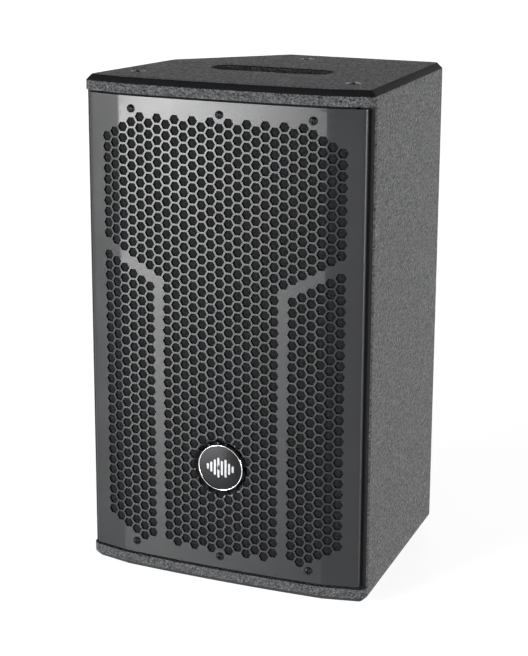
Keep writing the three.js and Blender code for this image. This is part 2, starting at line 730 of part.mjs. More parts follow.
function inputPlate() {
  // Pressed steel plate with a recess that keeps the connectors behind the rear face.
  const outer = DEPTH + GAP;
  const x = DISH_W / 2;
  const z = DISH_H / 2;
  const floorY = DEPTH - PLATE_DISH;
  const flange = block(-PLATE_W / 2, PLATE_W / 2, outer, outer + 1.5, -PLATE_H / 2, PLATE_H / 2);
  const pocket = block(-x, x, floorY, outer + 1, -z, z);
  const hollow = block(-x + 1.5, x - 1.5, floorY + 1.5, outer + 5, -z + 1.5, z - 1.5);
  const holes = [-SOCKET_X, SOCKET_X].map(
    (side) => rod(SOCKET_R + GAP, floorY - 5, floorY + 5, side, 0, ROUND));
  return cut(join(flange, pocket), hollow, ...holes).translate(PLATE_X, 0, PLATE_Z);
}

function speakerSocket(side) {
  // Four-pole twist-lock socket: square flange, round barrel, ring-shaped opening.
  const floorY = DEPTH - PLATE_DISH + 1.5 + GAP;
  const flange = block(-13, 13, floorY, floorY + 2.5, -15.5, 15.5);
  const barrel = rod(SOCKET_R, floorY - 22, floorY + 1, 0, 0, 16);
  const groove = [
    [5, floorY - 15], [10.3, floorY - 15], [10.3, floorY + 5], [5, floorY + 5],
  ];
  const body = cut(join(flange, barrel), turned(groove, 16));
  return body.translate(PLATE_X + side * SOCKET_X, 0, PLATE_Z);
}

function inputCable() {
  // Loom from the input socket down to the crossover board.
  const path = new THREE.CatmullRomCurve3([
    new THREE.Vector3(PLATE_X + SOCKET_X, 158.8, PLATE_Z),
    new THREE.Vector3(PLATE_X + SOCKET_X, 150, PLATE_Z - 4),
    new THREE.Vector3(PLATE_X + SOCKET_X + 8, 146, PLATE_Z - 40),
    new THREE.Vector3(BOARD_X - 14, 160, 160),
    new THREE.Vector3(BOARD_X - 5, 165, 149),
  ]);
  const section = new THREE.Shape().absarc(0, 0, 2.5, 0, 2 * Math.PI, false);
  const options = { steps: 16, extrudePath: path, curveSegments: 4, bevelEnabled: false };
  return new THREE.ExtrudeGeometry(section, options);
}

function dampingPad() {
  // Polyester wadding on the inside of the monitor face.
  const near = insetPath(WALL_OUTER, PLY + 1);
  const far = insetPath(WALL_OUTER, PLY + 13);
  return slab([near[1], near[2], far[2], far[1]], 30, 400);
}

// ---- Assembly -----------------------------------------------------------------------------
const cabinet = new THREE.Group();

function add(name, geometry, look) {
  const flat = closed(geometry).toNonIndexed();
  flat.computeVertexNormals();
  const mesh = new THREE.Mesh(flat, MATERIALS[look]);
  mesh.name = name;
  cabinet.add(mesh);
}

add('top_panel', topPanel(), 'paint');
add('bottom_panel', bottomPanel(), 'paint');
add('right_side_panel', rightSidePanel(), 'paint');
add('left_side_panel', wallPanel(0), 'paint');
add('monitor_side_panel', wallPanel(1), 'paint');
add('rear_panel', rearPanel(), 'paint');
add('baffle', baffle(), 'paint');
add('grille_batten_top', grilleBatten(404, INNER_TOP, MID_Z + GRILLE_SCREW_Z), 'wood');
add('grille_batten_bottom', grilleBatten(INNER_BOTTOM, 35.4, MID_Z - GRILLE_SCREW_Z), 'wood');
add('handle_cup', handleCup(), 'blackPlastic');
RIGGING.forEach((place, i) => {
  add(`rigging_bush_${i + 1}`, riggingBush(place), 'zinc');
  add(`rigging_screw_${i + 1}`, riggingScrew(place), 'blackScrew');
});
add('pole_socket', poleSocket(), 'stampedSteel');
FEET.forEach((place, i) => add(`foot_${i + 1}`, foot(place), 'rubber'));

add('grille', grille(), 'grilleSteel');
add('grille_foam', grilleFoam(), 'foam');
grilleScrewPlaces().forEach(([x, z], i) => {
  add(`grille_screw_${i + 1}`, woodScrew(frontY(x), 16, x, z), 'blackScrew');
});
add('badge', badge(), 'badgeBlack');
add('badge_ring', badgeRing(), 'chrome');

add('woofer_basket', wooferBasket(), 'stampedSteel');
add('woofer_surround', wooferSurround(), 'rubber');
add('woofer_cone', wooferCone(), 'paper');
add('dust_cap', dustCap(), 'paper');
add('woofer_spider', wooferSpider(), 'cotton');
add('voice_coil', tube(COIL_R - 0.8, COIL_R, 58, 98, WOOFER_Z), 'copper');
add('woofer_front_plate', tube(20.6, 45, 84.3, 91, WOOFER_Z), 'zinc');
add('woofer_magnet', tube(26, 55, 91.3, 107, WOOFER_Z), 'ferrite');
add('woofer_yoke', wooferYoke(), 'zinc');
screwPlaces(WOOFER_SCREW_R).forEach(([x, z], i) => {
  add(`woofer_screw_${i + 1}`, woodScrew(24.7, 16, x, z), 'blackScrew');
});

add('horn', horn(), 'blackPlastic');
add('driver_front_plate', tube(THROAT_R, 36, DRIVER_Y, DRIVER_Y + 7, HORN_Z), 'stampedSteel');
add('driver_magnet', tube(22, 36, DRIVER_Y + 7 + GAP, DRIVER_Y + 20.7, HORN_Z), 'ferrite');
add('driver_pole', driverPole(), 'zinc');
add('driver_diaphragm', driverDiaphragm(), 'titanium');
add('driver_rear_cover', driverRearCover(), 'blackPlastic');

add('port_tube_left', portTube(-PORT_X), 'blackPlastic');
add('port_tube_right', portTube(PORT_X), 'blackPlastic');
add('crossover_board', crossoverBoard(), 'circuitBoard');
add('crossover_coil', crossoverCoil(), 'copper');
add('crossover_capacitor', crossoverCapacitor(), 'blackPlastic');
add('input_plate', inputPlate(), 'stampedSteel');
add('input_socket', speakerSocket(1), 'blackPlastic');
add('link_socket', speakerSocket(-1), 'blackPlastic');
add('input_cable', inputCable(), 'blackPlastic');
add('damping_pad', dampingPad(), 'wadding');

// The origin is on the floor under the middle of the cabinet's bounding box.
const middle = new THREE.Box3().setFromObject(cabinet).getCenter(new THREE.Vector3());
cabinet.position.set(-middle.x, -middle.y, 0);

export default cabinet;
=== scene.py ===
import math

import bmesh
import bpy
import numpy as np
from mathutils import Matrix, Vector
from mathutils.geometry import tessellate_polygon


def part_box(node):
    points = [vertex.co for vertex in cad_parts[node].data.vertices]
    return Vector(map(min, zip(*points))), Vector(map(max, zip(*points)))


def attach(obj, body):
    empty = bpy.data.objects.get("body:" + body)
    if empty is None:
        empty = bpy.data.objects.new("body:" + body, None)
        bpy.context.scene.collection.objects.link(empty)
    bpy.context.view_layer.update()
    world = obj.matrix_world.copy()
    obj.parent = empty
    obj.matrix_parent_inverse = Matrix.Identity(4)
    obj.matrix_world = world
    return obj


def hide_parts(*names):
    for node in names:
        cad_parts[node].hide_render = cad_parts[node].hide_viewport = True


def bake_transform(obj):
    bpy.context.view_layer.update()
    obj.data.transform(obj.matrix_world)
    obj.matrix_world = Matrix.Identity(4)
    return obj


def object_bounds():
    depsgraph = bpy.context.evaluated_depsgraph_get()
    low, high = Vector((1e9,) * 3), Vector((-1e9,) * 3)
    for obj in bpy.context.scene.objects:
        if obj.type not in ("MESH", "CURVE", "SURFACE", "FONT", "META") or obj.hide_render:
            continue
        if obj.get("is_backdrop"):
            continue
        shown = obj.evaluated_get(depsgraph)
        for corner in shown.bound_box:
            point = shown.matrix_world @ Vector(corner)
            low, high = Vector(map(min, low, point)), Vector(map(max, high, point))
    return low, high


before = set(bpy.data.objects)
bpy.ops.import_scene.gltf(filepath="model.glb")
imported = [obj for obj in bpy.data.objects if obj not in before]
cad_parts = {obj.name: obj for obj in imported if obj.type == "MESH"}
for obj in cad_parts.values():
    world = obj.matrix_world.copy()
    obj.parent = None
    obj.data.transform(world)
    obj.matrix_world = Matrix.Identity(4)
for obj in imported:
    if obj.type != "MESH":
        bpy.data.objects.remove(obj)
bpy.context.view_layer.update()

# Compact stage loudspeaker, 436 mm high, with an 8 inch woofer and a horn behind a steel grille.
# Lengths are millimetres from the middle of the grille's front and from the floor, and
# metres() turns them into the shared frame.

# ---- Camera ---------------------------------------------------------------------------
# The cabinet is seen from its front right and from a little above its top panel.
# A long lens with a small downward shift keeps its upright edges nearly parallel.
EYE = Vector((0.5077, -1.2706, 0.6189))
EYE_TURN = math.radians(21.89)
EYE_TILT = math.radians(90 - 13.05)
EYE_ROLL = math.radians(0.25)

lens = bpy.data.cameras.new("camera")
lens.sensor_width = 36
lens.lens = 87.15
lens.shift_y = -0.157
camera = bpy.data.objects.new("camera", lens)
camera.matrix_world = (
    Matrix.Translation(EYE)
    @ Matrix.Rotation(EYE_TURN, 4, "Z")
    @ Matrix.Rotation(EYE_TILT, 4, "X")
    @ Matrix.Rotation(EYE_ROLL, 4, "Z")
)
bpy.context.scene.collection.objects.link(camera)
bpy.context.scene.camera = camera
bpy.context.scene.view_settings.view_transform = "Standard"


# ---- Floor and studio light -----------------------------------------------------------
# A pale floor that runs far back, a bright low sweep of light behind the cabinet and a
# soft box at its front left. Nothing hangs overhead, so the chamfered top edges stay dark,
# and they carry painted shade as well.
FLOOR_REACH = 30.0
SOFT_BOXES = {
    # name: (turn from the front towards the left, rise, distance, width and height, watts)
    "front_left_box": (30.5, 3, 1.9, (0.75, 0.9), 71),
    "right_strip": (282, 3, 1.9, (0.3, 0.9), 30),
    "rear_right_box": (217, 2, 2.2, (1.0, 0.9), 1.5),
    "rear_left_box": (157, 13, 2.6, (1.6, 0.5), 0.4),
}


def linear(code):
    """sRGB hex to linear RGBA: c / 12.92 up to 0.04045, above it ((c + 0.055) / 1.055) ** 2.4."""
    c = np.array([int(code[i:i + 2], 16) / 255 for i in (1, 3, 5)])
    c = np.where(c <= 0.04045, c / 12.92, ((c + 0.055) / 1.055) ** 2.4)
    return (*c, 1.0)


def add(tree, kind, sockets=None, **settings):
    """Adds a node with its own settings. A socket's value is a number, a colour or an output."""
    made = tree.nodes.new(kind)
    for name, value in settings.items():
        setattr(made, name, value)
    for name, value in (sockets or {}).items():
        if isinstance(value, bpy.types.NodeSocket):
            tree.links.new(value, made.inputs[name])
        else:
            made.inputs[name].default_value = value
    return made


def studio_sky():
    """Light by direction: sweep = 1 near the horizon and 0 above 25 degrees, stronger behind."""
    world = bpy.data.worlds.new("studio")
    world.use_nodes = True
    tree = world.node_tree
    tree.nodes.clear()
    way = add(tree, "ShaderNodeTexCoord").outputs["Generated"]
    part = add(tree, "ShaderNodeSeparateXYZ", {0: way})
    low = add(tree, "ShaderNodeMapRange", {
        "Value": part.outputs["Z"], "From Min": 0.14, "From Max": 0.42,
        "To Min": 1.0, "To Max": 0.0}, interpolation_type="SMOOTHSTEP")
    back = add(tree, "ShaderNodeMapRange", {
        "Value": part.outputs["Y"], "From Min": -0.25, "From Max": 0.65,
        "To Min": 0.18, "To Max": 1.05}, interpolation_type="SMOOTHSTEP")
    sweep = add(tree, "ShaderNodeMath", {
        0: low.outputs["Result"], 1: back.outputs["Result"]}, operation="MULTIPLY")
    lit = add(tree, "ShaderNodeMath", {0: sweep.outputs[0], 1: 0.025}, operation="ADD")
    seen = add(tree, "ShaderNodeLightPath").outputs["Is Camera Ray"]
    level = add(tree, "ShaderNodeMix", {0: seen, 2: lit.outputs[0], 3: 1.0}, data_type="FLOAT")
    glow = add(tree, "ShaderNodeBackground", {
        "Color": linear("#fdfdfe"), "Strength": level.outputs[0]})
    add(tree, "ShaderNodeOutputWorld", {"Surface": glow.outputs[0]})
    return world


def soft_box(name, turn, rise, distance, size, power):
    """Rectangular area light on a sphere round the cabinet's middle, aimed at that middle."""
    light = bpy.data.lights.new(name, "AREA")
    light.shape = "RECTANGLE"
    light.size, light.size_y = size
    light.energy = power
    box = bpy.data.objects.new(name, light)
    away = Vector((-math.sin(turn) * math.cos(rise), -math.cos(turn) * math.cos(rise),
                   math.sin(rise)))
    box.location = Vector((0, -0.1, 0.25)) + away * distance
    box.rotation_euler = away.to_track_quat("Z", "Y").to_euler()
    box.visible_camera = False
    bpy.context.scene.collection.objects.link(box)


def floor_finish():
    """Matt white sweep with a faint mottle; it glows a little, as paper lit from both sides."""
    material = bpy.data.materials.new("paper_sweep")
    material.use_nodes = True
    tree = material.node_tree
    shader = tree.nodes["Principled BSDF"]
    mottle = add(tree, "ShaderNodeTexNoise", {
        "Vector": add(tree, "ShaderNodeTexCoord").outputs["Object"], "Scale": 3.0})
    shade = add(tree, "ShaderNodeMix", {
        0: mottle.outputs[0], 6: linear("#a8a8a8"), 7: linear("#b0b0b0")}, data_type="RGBA")
    tree.links.new(shade.outputs[2], shader.inputs["Base Color"])
    shader.inputs["Roughness"].default_value = 0.32
    shader.inputs["Emission Color"].default_value = linear("#ffffff")
    shader.inputs["Emission Strength"].default_value = 0.85
    return material


bpy.context.scene.world = studio_sky()
for name, (turn, rise, distance, size, power) in SOFT_BOXES.items():
    soft_box(name, math.radians(turn), math.radians(rise), distance, size, power)
floor_mesh = bpy.data.meshes.new("floor")
floor_mesh.from_pydata(
    [(-FLOOR_REACH, -FLOOR_REACH, 0), (FLOOR_REACH, -FLOOR_REACH, 0),
     (FLOOR_REACH, FLOOR_REACH, 0), (-FLOOR_REACH, FLOOR_REACH, 0)], [], [(0, 1, 2, 3)])
floor_mesh.materials.append(floor_finish())
floor = bpy.data.objects.new("floor", floor_mesh)
bpy.context.scene.collection.objects.link(floor)
floor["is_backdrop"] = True


# ---- Top and bottom panels ------------------------------------------------------------
# Two 13 mm birch ply boards cut to the plan of the cabinet, with a 5 mm chamfer round their
# outer face. They stand 1 mm proud of the grille and are sprayed with a coarse black coat.
BOX_TOP = 441
FOOT_H = 5
PLY = 13
HALF_W = 129
DEPTH = 210
EDGE_CUT = 5
EDGE_SOFT = 0.5
CORNER_R = 8
BEND_R = 7
LIP = 1
ARC_R = 1700
CREASE_X = 92
WING_SLOPE = math.tan(math.radians(12))
LEFT_BEND = (-104.5, 130)
MONITOR_ANGLE = math.radians(43)
SLOT_MIDDLE = (7, 97)
SLOT_L = 112
SLOT_W = 33
SLOT_EDGE_R = 1.2
POLE = (8, 142)
POLE_TUBE_R = 20

grille_low, grille_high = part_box("grille")
MIDDLE = np.array([(grille_low.x + grille_high.x) / 2, grille_low.y, 0.0])
REAR_BEND = (LEFT_BEND[0] + (DEPTH - LEFT_BEND[1]) / math.tan(MONITOR_ANGLE), DEPTH)


def metres(points):
    """Millimetres from the middle of the grille's front edge, into the shared frame."""
    return np.asarray(points, float) * 0.001 + MIDDLE


def front_y(x):
    """Front of the grille: x^2 / (2 R) up to the crease, then a straight wing."""
    side = np.abs(x)
    bow = np.minimum(side, CREASE_X) ** 2 / (2 * ARC_R)
    return bow + np.maximum(side - CREASE_X, 0) * WING_SLOPE


def corner(before, at, after, radius, steps):
    """Arc tangent to both sides of a corner, from the first tangent point to the second."""
    before, at, after = (np.array(p, float) for p in (before, at, after))
    a = (before - at) / np.linalg.norm(before - at)
    b = (after - at) / np.linalg.norm(after - at)
    half = math.acos(a @ b) / 2
    centre = at + (a + b) / np.linalg.norm(a + b) * radius / math.sin(half)
    arm = at + a * radius / math.tan(half) - centre
    turn = math.copysign(math.pi - 2 * half, b[0] * a[1] - b[1] * a[0])
    t = np.linspace(0, turn, steps + 1)[:, None]
    return centre + np.cos(t) * arm + np.sin(t) * np.array([-arm[1], arm[0]])


def rounded(points, radii, steps=8):
    """Closed outline whose corners are replaced by arcs where they have a radius."""
    runs = [
        corner(points[i - 1], p, points[(i + 1) % len(points)], r, steps) if r
        else np.array([p], float)
        for i, (p, r) in enumerate(zip(points, radii))
    ]
    return np.concatenate(runs)


def pulled_in(outline, distance):
    """Each point moves by d (n1 + n2) / (1 + n1.n2), n1 and n2 its two sides' inward normals."""
    along = np.roll(outline, -1, 0) - outline
    along /= np.linalg.norm(along, axis=1, keepdims=True)
    inward = np.stack([-along[:, 1], along[:, 0]], 1)
    last = np.roll(inward, 1, 0)
    return outline + distance * (inward + last) / (1 + np.sum(inward * last, 1, keepdims=True))


def stadium(length, width, steps=16):
    """Slot outline: two half circles of radius width / 2 joined by straight sides."""
    t = np.linspace(-math.pi / 2, math.pi / 2, steps + 1)
    end = np.stack([(length - width) / 2 + np.cos(t) * width / 2, np.sin(t) * width / 2], 1)
    return np.concatenate([end, -end])


def circle(radius, sides=32, turn=0.0):
    """Points at equal angles on a circle."""
    t = np.arange(sides) * 2 * math.pi / sides + turn
    return np.stack([np.cos(t) * radius, np.sin(t) * radius], 1)


def skin(rings, first=0):
    """Quads between each ring of points and the next: ring k point i, i + 1, then ring k + 1."""
    count, around = rings.shape[:2]
    k, i = np.meshgrid(np.arange(count - 1), np.arange(around), indexing="ij")
    j = (i + 1) % around
    return first + np.stack(
        [k * around + i, k * around + j, (k + 1) * around + j, (k + 1) * around + i], -1
    ).reshape(-1, 4)


def piece(name, points, faces, finish, body="cabinet", nodes=(), smooth=35):
    """Welds the points, turns the faces outwards, rides the piece and hides the parts it
    replaces.
    """
    mesh = bpy.data.meshes.new(name)
    mesh.from_pydata(metres(points).tolist(), [], [list(map(int, f)) for f in faces])
    work = bmesh.new()
    work.from_mesh(mesh)
    bmesh.ops.remove_doubles(work, verts=work.verts, dist=2e-6)
    bmesh.ops.dissolve_degenerate(work, edges=work.edges, dist=1e-7)
    bmesh.ops.recalc_face_normals(work, faces=work.faces)
    work.to_mesh(mesh)
    work.free()
    mesh.materials.append(finish)
    made = bpy.data.objects.new(name, mesh)
    bpy.context.scene.collection.objects.link(made)
    mesh.shade_smooth()
    mesh.set_sharp_from_angle(angle=math.radians(smooth))
    if body:
        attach(made, body)
    if nodes:
        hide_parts(*nodes)
    return made


def board_mesh(outline, holes, rise, hole_rise):
    """Board between two levels. The outline is carried along rise, a list of (pull in, z) from
    bottom to top, each hole along hole_rise, and both faces are filled between the loops."""
    loops = [[(pulled_in(outline, inset), z) for inset, z in rise]]
    loops += [[(pulled_in(hole, -inset), z) for inset, z in hole_rise] for hole in holes]
    points, faces, ends = [], [], []
    first = 0
    for levels in loops:
        rings = np.stack([np.column_stack([xy, np.full(len(xy), z)]) for xy, z in levels])
        faces += skin(rings, first).tolist()
        around = rings.shape[1]
        ends.append((first, first + (len(levels) - 1) * around, around))
        points.append(rings.reshape(-1, 3))
        first += rings.shape[0] * around
    points = np.concatenate(points)
    for level in (0, 1):
        index = [np.arange(e[level], e[level] + e[2]) for e in ends]
        triangles = tessellate_polygon([[Vector(p) for p in points[i]] for i in index])
        flat = np.concatenate(index)
        faces += [[flat[a], flat[b], flat[c]] for a, b, c in triangles]
    return points, faces


def new_finish(name):
    """A new material with its node tree, its shader and a place on the piece in metres."""
    material = bpy.data.materials.new(name)
    material.use_nodes = True
    tree = material.node_tree
    place = add(tree, "ShaderNodeTexCoord").outputs["Object"]
    return material, tree, tree.nodes["Principled BSDF"], place


def join_shader(tree, shader, shade, rough, relief):
    """Links the nodes that make colour, roughness and relief to the shader."""
    tree.links.new(shade.outputs[2], shader.inputs["Base Color"])
    tree.links.new(rough.outputs[0], shader.inputs["Roughness"])
    tree.links.new(relief.outputs[0], shader.inputs["Normal"])


def textured_paint():
    """Water-based polyurethane coat, sprayed as coarse drops and cured: matt black with close
    pebbles about 2 mm across, each of which catches a small dull glint.
    Real pebbles are nearer 1 mm; they are drawn coarser, or they would average to flat grey."""
    material, tree, shader, place = new_finish("sprayed_textured_coat")
    drops = add(tree, "ShaderNodeTexVoronoi", {
        "Vector": place, "Scale": 1000 / 2.4, "Smoothness": 0.4}, feature="SMOOTH_F1")
    grit = add(tree, "ShaderNodeTexNoise", {
        "Vector": place, "Scale": 1000 / 2.0, "Detail": 2.0, "Roughness": 0.6})
    coat = add(tree, "ShaderNodeMath", {
        0: drops.outputs["Distance"], 1: -0.9, 2: grit.outputs[0]}, operation="MULTIPLY_ADD")
    relief = add(tree, "ShaderNodeBump", {
        "Height": coat.outputs[0], "Distance": 0.0023, "Strength": 1.0})
    # Painted highlight and shade: the colour follows the grit in the height, light grey on the
    # raised grit and near black in the hollows.
    tone = add(tree, "ShaderNodeMapRange", {
        "Value": grit.outputs[0], "From Min": 0.3, "From Max": 0.7})
    shade = add(tree, "ShaderNodeMix", {
        0: tone.outputs[0], 6: linear("#040405"), 7: linear("#4c4d4f")}, data_type="RGBA")
    gloss = add(tree, "ShaderNodeMapRange", {
        "Value": grit.outputs[0], "From Min": 0.3, "From Max": 0.7,
        "To Min": 0.62, "To Max": 0.32})
    join_shader(tree, shader, shade, gloss, relief)
    shader.inputs["IOR"].default_value = 1.5
    return material


def painted_shade_coat(name, dark, light):
    """Painted shade: the same coat made darker, duller and nearly smooth, for cut edges that
    stand in shade.
    """
    material, tree, shader, place = new_finish(name)
    grit = add(tree, "ShaderNodeTexNoise", {"Vector": place, "Scale": 1000 / 1.6, "Detail": 2.0})
    shade = add(tree, "ShaderNodeMix", {
        0: grit.outputs[0], 6: linear(dark), 7: linear(light)}, data_type="RGBA")
    relief = add(tree, "ShaderNodeBump", {
        "Height": grit.outputs[0], "Distance": 0.0006, "Strength": 1.0})
    tree.links.new(shade.outputs[2], shader.inputs["Base Color"])
    tree.links.new(relief.outputs[0], shader.inputs["Normal"])
    shader.inputs["Roughness"].default_value = 0.55
    shader.inputs["Specular IOR Level"].default_value = 0.15
    return material


PAINT = textured_paint()
lip_x = np.linspace(-CREASE_X, CREASE_X, 25)
lip = np.column_stack([lip_x, front_y(lip_x) - LIP])
FRONT_LEFT = (-HALF_W - 0.4, float(front_y(HALF_W)) - LIP)
FRONT_RIGHT = (HALF_W, float(front_y(HALF_W)) - LIP)
plan = rounded(
    [FRONT_LEFT, *lip.tolist(), FRONT_RIGHT, (HALF_W, DEPTH), REAR_BEND, LEFT_BEND],
    [CORNER_R, *[0] * len(lip), CORNER_R, CORNER_R, BEND_R, BEND_R])
t = np.linspace(0, math.pi / 2, 9)
cut_in = EDGE_CUT + EDGE_SOFT
top_rise = [
    (0, BOX_TOP - PLY), (0, BOX_TOP - cut_in),
    (EDGE_SOFT * 0.3, BOX_TOP - EDGE_CUT + EDGE_SOFT * 0.1),
    (EDGE_SOFT, BOX_TOP - EDGE_CUT + EDGE_SOFT), (EDGE_CUT - EDGE_SOFT, BOX_TOP - EDGE_SOFT),
    (EDGE_CUT - EDGE_SOFT * 0.1, BOX_TOP - EDGE_SOFT * 0.3), (cut_in, BOX_TOP)]
bottom_rise = [(inset, BOX_TOP + FOOT_H - z) for inset, z in reversed(top_rise)]
slot_rise = [(0, BOX_TOP - PLY),
             *zip(SLOT_EDGE_R * (1 - np.cos(t)), BOX_TOP - SLOT_EDGE_R * (1 - np.sin(t)))]
slot = stadium(SLOT_L - 2 * SLOT_EDGE_R, SLOT_W - 2 * SLOT_EDGE_R) + SLOT_MIDDLE
# Painted shade: a darker, duller coat for the chamfers and the walls' front ends, where shade
# falls.
PAINTED_SHADE_COAT = painted_shade_coat("painted_shade_edge_coat", "#0b0b0c", "#1b1b1d")
points, faces = board_mesh(plan, [slot], top_rise, slot_rise)
top_panel = piece("top_board", points, faces, PAINT, nodes=["top_panel"])
points, faces = board_mesh(
    plan, [circle(POLE_TUBE_R, 48) + POLE], bottom_rise, [(0, FOOT_H), (0, FOOT_H + PLY)])
bottom_panel = piece(
    "bottom_board", points, faces, PAINT, nodes=["bottom_panel"])


def paint_shade_faces(board, axis, least, most):
    """Gives the painted shade coat to the faces whose normal has axis between least and most."""
    board.data.materials.append(PAINTED_SHADE_COAT)
    normals = np.empty(len(board.data.polygons) * 3)
    board.data.polygons.foreach_get("normal", normals)
    lean = normals.reshape(-1, 3)[:, axis]
    board.data.polygons.foreach_set(
        "material_index", ((lean > least) & (lean < most)).astype(np.int32))


# Painted shade on the boards' chamfers and on the rounded rim of the hand slot.
paint_shade_faces(top_panel, 2, 0.3, 0.95)
paint_shade_faces(bottom_panel, 2, -0.95, -0.3)


# ---- Side, monitor and rear walls -----------------------------------------------------
# 13 mm birch ply, mitred and glued between the top and bottom panels, then sprayed with the
# same coat, so no joint shows. The left wall tapers and the monitor wall behind it lets the
# cabinet lie on the floor as a wedge. The rear wall has an opening for the input plate.
WALL_Z = (FOOT_H + PLY, BOX_TOP - PLY)
SIDE_FRONT_Y = 14.5
SIDE_EDGE_R = 3
PLATE_X = 55
PLATE_Z = 235
DISH_W = 92
DISH_H = 72

left_lean = (LEFT_BEND[0] - FRONT_LEFT[0]) / (LEFT_BEND[1] - FRONT_LEFT[1])
left_front = (FRONT_LEFT[0] + (SIDE_FRONT_Y - FRONT_LEFT[1]) * left_lean, SIDE_FRONT_Y)
inner_x = HALF_W - PLY
wall_line = np.array([left_front, LEFT_BEND, REAR_BEND, (inner_x, DEPTH)], float)


def moved_line(line, distance):
    """Open line moved to its right by a distance, each bend on the mitre of its two sides."""
    along = np.diff(line, axis=0)
    along /= np.linalg.norm(along, axis=1, keepdims=True)
    right = np.stack([along[:, 1], -along[:, 0]], 1)
    before = np.concatenate([right[:1], right])
    after = np.concatenate([right, right[-1:]])
    return line + distance * (before + after) / (1 + np.sum(before * after, 1, keepdims=True))


def wall_outlines():
    """The plans of the left, monitor and rear walls, cut apart on the mitres of the bends."""
    inside = moved_line(wall_line, PLY)
    bends = [corner(wall_line[i - 1], wall_line[i], wall_line[i + 1], BEND_R, 8) for i in (1, 2)]
    front = corner(inside[0], wall_line[0], wall_line[1], SIDE_EDGE_R, 4)
    outer = [
        np.concatenate([front, bends[0][:5]]),
        np.concatenate([bends[0][4:], bends[1][:5]]),
        np.concatenate([bends[1][4:], wall_line[3:]]),
    ]
    return [np.concatenate([run, inside[[i + 1, i]]])[::-1] for i, run in enumerate(outer)]


def wall(name, outline, node):
    """A wall is its plan outline carried straight up between the top and bottom panels."""
    points, faces = board_mesh(outline, [], [(0, z) for z in WALL_Z], [])
    return piece(name, points, faces, PAINT, nodes=[node])


right_plan = rounded(
    [(inner_x, SIDE_FRONT_Y), (HALF_W, SIDE_FRONT_Y), (HALF_W, DEPTH), (inner_x, DEPTH)],
    [0, SIDE_EDGE_R, CORNER_R, 0])
left_plan, monitor_plan, rear_plan = wall_outlines()
# Painted shade on the side walls' front ends, recessed behind the grille's folds.
paint_shade_faces(wall("right_wall", right_plan, "right_side_panel"), 1, -1.1, -0.85)
paint_shade_faces(wall("left_wall", left_plan, "left_side_panel"), 1, -1.1, -0.85)
wall("monitor_wall", monitor_plan, "monitor_side_panel")
rear_wall = wall("rear_wall", rear_plan, "rear_panel")


def opened(made, points, faces):
    """Cuts a plug out of a piece, and removes the plug."""
    mesh = bpy.data.meshes.new("plug")
    mesh.from_pydata(metres(points).tolist(), [], [list(map(int, f)) for f in faces])
    plug = bpy.data.objects.new("plug", mesh)
    bpy.context.scene.collection.objects.link(plug)
    cutter = made.modifiers.new("opening", "BOOLEAN")
    cutter.object = plug
    cutter.solver = "EXACT"
    bpy.context.view_layer.update()
    kept = bpy.data.meshes.new_from_object(
        made.evaluated_get(bpy.context.evaluated_depsgraph_get()))
    made.modifiers.clear()
    made.data = kept
    bpy.data.objects.remove(plug)


def frame_outline(width, height, radius, steps=8):
    """Rectangle with rounded corners, centred on zero."""
    x, z = width / 2, height / 2
    return rounded([(-x, -z), (x, -z), (x, z), (-x, z)], [radius] * 4, steps)


def stood(outline, y):
    """Turns an outline of (across, up) pairs into points at depth y."""
    return np.column_stack([outline[:, 0], np.full(len(outline), y), outline[:, 1]])


opening = frame_outline(DISH_W + 2, DISH_H + 2, 6)
around = len(opening)
plug = np.stack([stood(opening, y) for y in (DEPTH - PLY - 5, DEPTH + 5)]) + (PLATE_X, 0, PLATE_Z)
plug_faces = skin(plug).tolist() + [
    list(range(around)), list(range(2 * around - 1, around - 1, -1))]
opened(rear_wall, plug.reshape(-1, 3), plug_faces)


# ---- Grille ---------------------------------------------------------------------------
# One 1.5 mm sheet of punched steel, pressed to a shallow arc with a wing folded back along
# each side, flanged at both edges and powder coated dark grey. Its hexagonal holes leave
# plain bands that run down from the shoulders, and a round dimple takes the badge.
PITCH = 9.3
HOLE_FLATS = 7.8
SHEET = 1.5
GRILLE_HALF_W = 124
GRILLE_H = 406
FOLD_R = 3.0
FLANGE_Y = 13
MID_Z = FOOT_H + 218
BADGE_Z = MID_Z - 111.6
DIMPLE_R = 25.5
DIMPLE_RIM = 4.5
DIMPLE_DEPTH = 5
NEAR_BADGE = 38
FINER_WITHIN = (33, 31)
FIELD_COLUMNS = 13
FIELD_ROWS = 20
CORNER_COLUMN = 9
BAND_COLUMN = 7
BAND_TOP = 1.5


def hole_open(column, row):
    """Where the punched field is open. column and row count pitches from the middle, row up.
    Corners are cut at half a row for each column past CORNER_COLUMN."""
    side = np.abs(column)
    field = np.abs(row) <= FIELD_ROWS - np.maximum(side - CORNER_COLUMN, 0) / 2
    shoulder = (side > BAND_COLUMN) & (np.abs(row - BAND_TOP - side / 2) < 0.1)
    band = (side == BAND_COLUMN) & (row < BAND_TOP + BAND_COLUMN / 2 + 0.1)
    return field & (side <= FIELD_COLUMNS) & ~shoulder & ~band


def hexagon(flats):
    """Corners of a hexagon flat above and below, across those flats."""
    return circle(flats / math.sqrt(3), 6)


